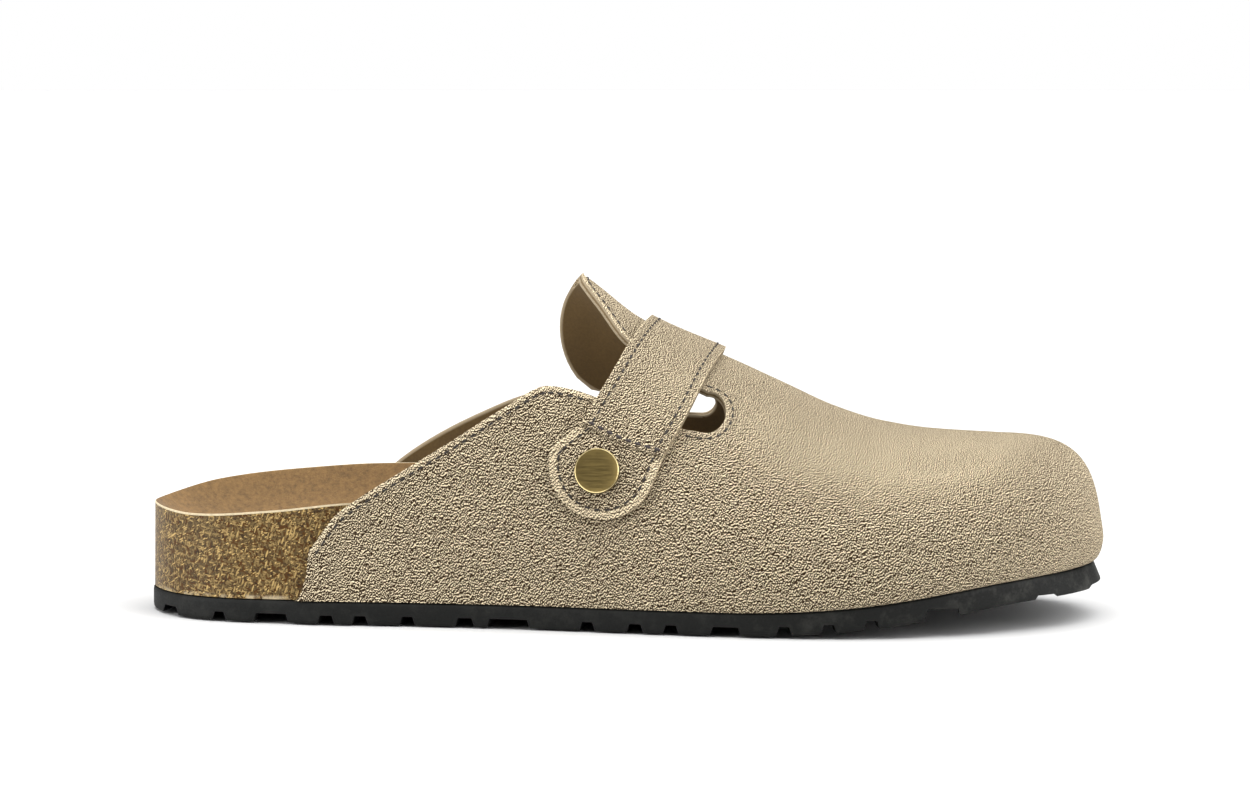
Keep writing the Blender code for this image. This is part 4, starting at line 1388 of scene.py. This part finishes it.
class CLOG_OT_footbed_lining(bpy.types.Operator):
    """Tan suede over the footbed, cut flush with the rim where its pale layers show"""

    bl_idname = "clog.footbed_lining"
    bl_label = "Footbed lining"

    def execute(self, context):
        colours = context.scene.clog_colours
        ribs = plan_ribs(FOOTBED_OUTLINE)
        shares = [1.0, 0.985, 0.965, 0.94, 0.91, 0.87, 0.82, 0.76, 0.68, 0.58, 0.46, 0.32, 0.16, 0.0]
        under = footbed_points(ribs, shares[::-1], GAP)
        under[:, -1, 2] -= 0.8 * GAP
        top = footbed_points(ribs, shares, GAP + LINING)
        # The rim is rounded over its height
        rim = top[:, :1] + (under[:, -1:] - top[:, :1]) * np.array([0.85, 0.5, 0.2])[None, :, None]
        soft = footbed_points(ribs, [0.994], GAP + LINING - 0.05)
        rows = np.concatenate([under, rim, soft, top[:, 1:]], 1)
        finishes = np.zeros(rows.shape[1] - 1, int)
        finishes[len(shares) - 1:len(shares) + 1] = 2
        finishes[len(shares) + 1:len(shares) + 3] = 1
        lining = weld(lay_grid("tan_lining", rows, finishes))
        dress(lining, suede_tan(colours), suede_rim(colours), bpy.data.materials["cork_granulate"])
        smooth_faces(lining, 50)
        settle(lining, "footbed_lining")
        return {"FINISHED"}


class CLOG_OT_suede_upper(bpy.types.Operator):
    """Suede upper in one wall: vamp and toe, tongue, and a quarter on each side"""

    bl_idname = "clog.suede_upper"
    bl_label = "Suede upper"

    def execute(self, context):
        sizes, colours = context.scene.clog_sizes, context.scene.clog_colours
        patches, edge = upper_pairs()
        sheets = [lay_grid("suede_upper", last_points(p[..., 0], p[..., 1])) for p in patches]
        turns = np.linspace(-np.pi / 2, np.pi / 2, FAN_RIBS + 1)[:, None]
        sheets.append(lay_grid("suede_upper", toe_points(turns, toe_shares()[None, :])))
        upper = weld(*sheets, sheet=True)
        upper.name = upper.data.name = "suede_upper"
        dress(upper, suede_taupe(sizes, colours), suede_flesh_side(colours), suede_cut_edge(colours))
        line = even_line(in_frame(last_points(edge[:, 0], edge[:, 1])), EDGE_STEP * MM)
        finish_with(
            upper,
            "SOLIDIFY",
            thickness=sizes.upper_wall,
            offset=-1,
            use_even_offset=False,
            material_offset=1,
            material_offset_rim=2,
        )
        finish_with(
            upper,
            "BEVEL",
            width=sizes.edge_round,
            segments=2,
            limit_method="ANGLE",
            angle_limit=math.radians(55),
            material=2,
        )
        mark(upper, "edge_mm", distances(upper, line, EDGE_REACH))
        mark(upper, "seam_mm", np.full(len(upper.data.vertices), sizes.seam_inset / MM))
        behind_slot = mesh_places(upper)[:, 0] < in_frame((SLOT_START, 0.0, 0.0))[0]
        mark(upper, "hem_mm", np.where(behind_slot, QUARTER_HEM, 0.0))
        mark_light_way(upper)
        smooth_faces(upper, 50)
        settle(upper, "upper")
        return {"FINISHED"}


class CLOG_OT_instep_strap(bpy.types.Operator):
    """Strap over the instep, thinner below the seam where its rounded tab carries the stud"""

    bl_idname = "clog.instep_strap"
    bl_label = "Instep strap"

    def execute(self, context):
        sizes = context.scene.clog_sizes
        pairs, seam = strap_pairs()
        x, share = pairs[..., 0], pairs[..., 1]
        points = last_points(x, share) + last_normals(x, share) * GAP
        strap = lay_grid("suede_strap", points)
        thick = strap.vertex_groups.new(name="thickness")
        tab = in_frame(points[:seam].reshape(-1, 3))
        tree = search_tree(tab)
        for vertex in strap.data.vertices:
            thin = tree.find(vertex.co)[2] < 0.001 * MM
            thick.add([vertex.index], TAB_SHARE if thin else 1.0, "REPLACE")
        weld(strap, sheet=True)
        dress(strap, bpy.data.materials["brushed_suede"], bpy.data.materials["suede_cut_edge"])
        finish_with(
            strap,
            "SOLIDIFY",
            thickness=sizes.strap_wall,
            offset=1,
            use_even_offset=False,
            vertex_group="thickness",
            material_offset_rim=1,
        )
        finish_with(
            strap,
            "BEVEL",
            width=sizes.edge_round * 1.3,
            segments=3,
            limit_method="ANGLE",
            angle_limit=math.radians(60),
            material=0,
        )
        wall = STRAP_THICKNESS * np.where(np.arange(len(points)) < seam, TAB_SHARE, 1.0)
        top = points + last_normals(x, share) * wall[:, None, None]
        rim = np.concatenate([top[0], top[:, -1], top[-1, ::-1], top[::-1, 0]])
        mark(strap, "edge_mm", distances(strap, even_line(in_frame(rim), EDGE_STEP * MM), EDGE_REACH))
        mark(strap, "seam_mm", np.full(len(strap.data.vertices), sizes.strap_inset / MM))
        # The tab alone has a broad pressed hem, which starts a little below the band
        below_band = distances(strap, in_frame(top[seam:].reshape(-1, 3)), 3)
        mark(strap, "hem_mm", BAND_HEM + (TAB_HEM - BAND_HEM) * smooth_step(0.5, 2.5, below_band))
        mark_light_way(strap)
        smooth_faces(strap, 50)
        settle(strap, "instep_strap")
        return {"FINISHED"}


class CLOG_OT_strap_stud(bpy.types.Operator):
    """Turned brass cap with a brushed face and a bright raised rim, set on the strap's tab"""

    bl_idname = "clog.strap_stud"
    bl_label = "Strap stud"

    def execute(self, context):
        colours = context.scene.clog_colours
        radius, height = STUD_DIAMETER / 2 * MM, STUD_HEIGHT * MM
        # Profile from the foot outside to the edge of the face: share of the radius, share of the height
        profile = [
            (0.96, 0.0),
            (0.985, 0.25),
            (1.0, 0.55),
            (0.997, 0.78),
            (0.985, 0.94),
            (0.962, 1.0),
            (0.94, 0.97),
            (0.925, 0.88),
            (0.915, 0.8),
            (0.9, 0.78),
            (0.5, 0.78),
            (0.2, 0.78),
        ]
        bpy.ops.object.select_all(action="DESELECT")
        bpy.ops.mesh.primitive_circle_add(vertices=72, radius=radius * profile[0][0], fill_type="NGON")
        stud = bpy.context.object
        stud.name = stud.data.name = "brass_stud"
        dress(stud, antique_brass(colours), polished_brass(colours))
        bpy.ops.object.mode_set(mode="EDIT")
        bpy.ops.mesh.select_all(action="SELECT")
        for (was, low), (share, high) in zip(profile, profile[1:]):
            bpy.ops.mesh.extrude_region_move(
                TRANSFORM_OT_translate={"value": (0, 0, (high - low) * height)}
            )
            bpy.ops.transform.resize(value=(share / was, share / was, 1), center_override=(0, 0, 0))
        bpy.ops.mesh.select_all(action="SELECT")
        bpy.ops.mesh.normals_make_consistent(inside=False)
        bpy.ops.object.mode_set(mode="OBJECT")
        for face in stud.data.polygons:
            away = math.hypot(face.center.x, face.center.y) / radius
            face.material_index = 1 if 0.93 < away and face.center.z > 0.9 * height else 0
        x, z = STUD_PLACE
        share = arch_share(LATERAL, x, z)
        out = last_normals(np.array(x), share)
        lift = GAP * 2.5 + STRAP_THICKNESS * TAB_SHARE
        stud.location = in_frame(last_points(np.array(x), share) + out * lift)
        stud.rotation_euler = Vector(out).to_track_quat("Z", "Y").to_euler()
        pick(stud)
        bpy.ops.object.transform_apply(location=True, rotation=True, scale=True)
        smooth_faces(stud, 45)
        settle(stud, "strap_stud")
        return {"FINISHED"}


class CLOG_OT_stitching(bpy.types.Operator):
    """Thread along the cut edges of the upper and the strap, and across the tab's seam"""

    bl_idname = "clog.stitching"
    bl_label = "Stitching"

    def execute(self, context):
        sizes, colours = context.scene.clog_sizes, context.scene.clog_colours
        upper, strap = bpy.data.objects["suede_upper"], bpy.data.objects["suede_strap"]
        on_upper, on_strap = surface_of(upper), surface_of(strap)
        _, edge = upper_pairs()
        pairs, seam = strap_pairs()
        rim = np.concatenate([pairs[:, -1][::-1], pairs[0][::-1], pairs[:, 0], pairs[-1]])
        places = self.along_edge(edge, 0.0, on_upper, sizes.seam_inset, sizes)
        places = [p for p in places if (on_strap.find_nearest(p[0])[3] or 1) > 1.6 * MM]
        places += self.along_edge(rim, GAP + STRAP_THICKNESS * 0.85, on_strap, sizes.strap_inset, sizes)
        across = self.across_seam(pairs[seam + 2, 1:-1], on_strap, sizes)
        thread = self.thread(sizes, sizes.thread_width)
        stout_thread = self.thread(sizes, sizes.thread_width * 1.5)
        # The threads' near-black colours are painted shade for the seam's groove
        self.sew("stitch_thread", thread, places, sewing_thread("sewing_thread", colours.thread))
        self.sew("shaded_seam_thread", stout_thread, across, sewing_thread("painted_shade_thread", colours.shaded_seam_thread))
        for model in (thread, stout_thread):
            bpy.data.objects.remove(model)
        return {"FINISHED"}

    def along_edge(self, pairs, lift, surface, inset, sizes):
        """Stitch places beside a cut edge, as point, direction and normal."""
        x, share = pairs[:, 0], pairs[:, 1]
        points, out = last_points(x, share), last_normals(x, share)
        both = even_line(np.concatenate([in_frame(points + out * lift), out], 1), 0.4 * MM)
        line, out = both[:, :3], both[:, 3:]
        along = np.gradient(line, axis=0)
        along /= np.linalg.norm(along, axis=1)[:, None] + 1e-12
        inward = np.cross(out, along)
        sides = [line + inward * inset * sign for sign in (1, -1)]
        gaps = [np.mean([surface.find_nearest(p)[3] for p in side[::4]]) for side in sides]
        side = sides[int(np.argmin(gaps))]
        tree = search_tree(line)
        kept = [p for p in side if tree.find(p)[2] > inset * 0.93]
        return self.spaced(np.array(kept), surface, sizes)

    def across_seam(self, pairs, surface, sizes):
        """Stitch places along a row of the strap."""
        x, share = pairs[:, 0], pairs[:, 1]
        points = last_points(x, share) + last_normals(x, share) * (GAP + STRAP_THICKNESS)
        return self.spaced(in_frame(points), surface, sizes)

    def spaced(self, line, surface, sizes):
        """Places at the stitch pitch along a line, set down on the surface."""
        steps = even_line(line, sizes.stitch_pitch)
        places = []
        for before, after in zip(steps, steps[1:]):
            point, normal, _, _ = surface.find_nearest((before + after) / 2)
            along = Vector(after - before)
            if along.length < sizes.stitch_pitch * 1.5:
                along = (along - normal * along.dot(normal)).normalized()
                places.append((point, along, normal))
        return places

    def thread(self, sizes, width):
        """One thread: a ball drawn out along X, arched a little and sunk into the suede at both ends."""
        span = sizes.stitch_pitch * 0.68
        bpy.ops.object.select_all(action="DESELECT")
        bpy.ops.mesh.primitive_uv_sphere_add(
            segments=6, ring_count=8, radius=0.5, rotation=(0, math.pi / 2, 0)
        )
        thread = bpy.context.object
        bpy.ops.object.transform_apply(location=False, rotation=True, scale=False)
        bpy.ops.object.mode_set(mode="EDIT")
        bpy.ops.mesh.select_mode(type="VERT")
        bpy.ops.mesh.select_all(action="SELECT")
        bpy.ops.transform.resize(value=(span, width, 0.8 * width))
        bpy.ops.mesh.select_all(action="DESELECT")
        bpy.ops.object.mode_set(mode="OBJECT")
        for vertex in thread.data.vertices:
            vertex.select = abs(vertex.co.x) > 0.4 * span
        bpy.ops.object.mode_set(mode="EDIT")
        bpy.ops.transform.translate(value=(0, 0, -0.35 * width))
        bpy.ops.mesh.select_all(action="INVERT")
        bpy.ops.transform.translate(value=(0, 0, 0.1 * width))
        bpy.ops.object.mode_set(mode="OBJECT")
        return thread

    def sew(self, name, model, places, finish):
        """A copy of the model at each place, all as a single piece."""
        copies = []
        for point, along, normal in places:
            copy = bpy.data.objects.new(name, model.data.copy())
            turn = Matrix((along, normal.cross(along), normal)).transposed()
            copy.matrix_world = Matrix.Translation(point) @ turn.to_4x4()
            bpy.context.scene.collection.objects.link(copy)
            copies.append(copy)
        pick(*copies)
        bpy.ops.object.join()
        bpy.ops.object.transform_apply(location=True, rotation=True, scale=True)
        sewn = bpy.context.object
        sewn.name = sewn.data.name = name
        dress(sewn, finish)
        smooth_faces(sewn, 60)
        settle(sewn)


class CLOG_OT_studio(bpy.types.Operator):
    """Pale floor, soft light from above and the camera at the outer side of the shoe"""

    bl_idname = "clog.studio"
    bl_label = "Studio"

    def execute(self, context):
        bpy.ops.object.select_all(action="DESELECT")
        bpy.ops.mesh.primitive_plane_add(size=60, location=(0, 0, -0.0002))
        floor = context.object
        floor.name = floor.data.name = "studio_floor"
        bpy.ops.object.transform_apply(location=True, rotation=False, scale=False)
        floor.data.materials.append(studio_floor(context.scene.clog_colours))
        self.light(context.scene)
        self.camera(context.scene)
        context.scene.view_settings.view_transform = "Standard"
        return {"FINISHED"}

    def light(self, scene):
        """A broad light overhead and one before the toe, a soft fill from the heel and an even white room."""
        for name, aim, energy, angle in (
            ("overhead", (-0.05, 0.04, -1.0), 4.6, 75),
            ("toe_side", (-0.8, 0.26, -0.4), 2.8, 60),
        ):
            bpy.ops.object.light_add(type="SUN", rotation=Vector(aim).to_track_quat("-Z", "Y").to_euler())
            sun = bpy.context.object
            sun.name = name
            sun.data.energy = energy
            sun.data.angle = math.radians(angle)
        bpy.ops.object.light_add(type="AREA", location=(-1.1, -0.5, 0.35))
        heel = bpy.context.object
        heel.name = "heel_fill"
        heel.data.energy = 10
        heel.data.size = 0.6
        heel.rotation_euler = (Vector((0, 0, 0.04)) - heel.location).to_track_quat("-Z", "Y").to_euler()
        room = bpy.data.worlds.new("white_room")
        room.use_nodes = True
        tree = room.node_tree
        seen = add_node(tree, "ShaderNodeLightPath").outputs["Is Camera Ray"]
        strength = add_node(
            tree,
            "ShaderNodeMapRange",
            {"Value": seen, "From Min": 0.0, "From Max": 1.0, "To Min": 0.2, "To Max": 1.0},
        ).outputs["Result"]
        backdrop = tree.nodes["Background"]
        backdrop.inputs["Color"].default_value = (1, 1, 1, 1)
        tree.links.new(strength, backdrop.inputs["Strength"])
        scene.world = room

    def camera(self, scene):
        """A long lens just above the shoe, turned a little to the toe."""
        target = Vector(in_frame((139.8, 0.0, 62.1)))
        bpy.ops.object.camera_add(location=in_frame((216.2, -1093.1, 157.9)))
        camera = bpy.context.object
        camera.rotation_euler = (target - camera.location).to_track_quat("-Z", "Y").to_euler()
        camera.data.sensor_width = 36
        camera.data.lens = 107.96
        camera.data.clip_start = 0.01
        scene.camera = camera


class CLOG_PT_workbench(bpy.types.Panel):
    """Lists the clog's pieces with their sizes and colours"""

    bl_label = "Footbed clog"
    bl_idname = "CLOG_PT_workbench"
    bl_space_type = "VIEW_3D"
    bl_region_type = "UI"
    bl_category = "Clog"

    def draw(self, context):
        for piece in PIECES:
            self.layout.operator(piece.bl_idname)
        for group in (context.scene.clog_sizes, context.scene.clog_colours):
            box = self.layout.box()
            for name in group.__annotations__:
                box.prop(group, name)


PIECES = (
    CLOG_OT_outsole,
    CLOG_OT_cork_footbed,
    CLOG_OT_footbed_lining,
    CLOG_OT_suede_upper,
    CLOG_OT_instep_strap,
    CLOG_OT_strap_stud,
    CLOG_OT_stitching,
    CLOG_OT_studio,
)


def register():
    for made in (ClogSizes, ClogColours, *PIECES, CLOG_PT_workbench):
        bpy.utils.register_class(made)
    bpy.types.Scene.clog_sizes = PointerProperty(type=ClogSizes)
    bpy.types.Scene.clog_colours = PointerProperty(type=ClogColours)


def unregister():
    del bpy.types.Scene.clog_colours
    del bpy.types.Scene.clog_sizes
    for made in reversed((ClogSizes, ClogColours, *PIECES, CLOG_PT_workbench)):
        bpy.utils.unregister_class(made)


def main():
    register()
    bpy.ops.clog.outsole()
    bpy.ops.clog.cork_footbed()
    bpy.ops.clog.footbed_lining()
    bpy.ops.clog.suede_upper()
    bpy.ops.clog.instep_strap()
    bpy.ops.clog.strap_stud()
    bpy.ops.clog.stitching()
    bpy.ops.clog.studio()


if __name__ == "__main__":
    main()
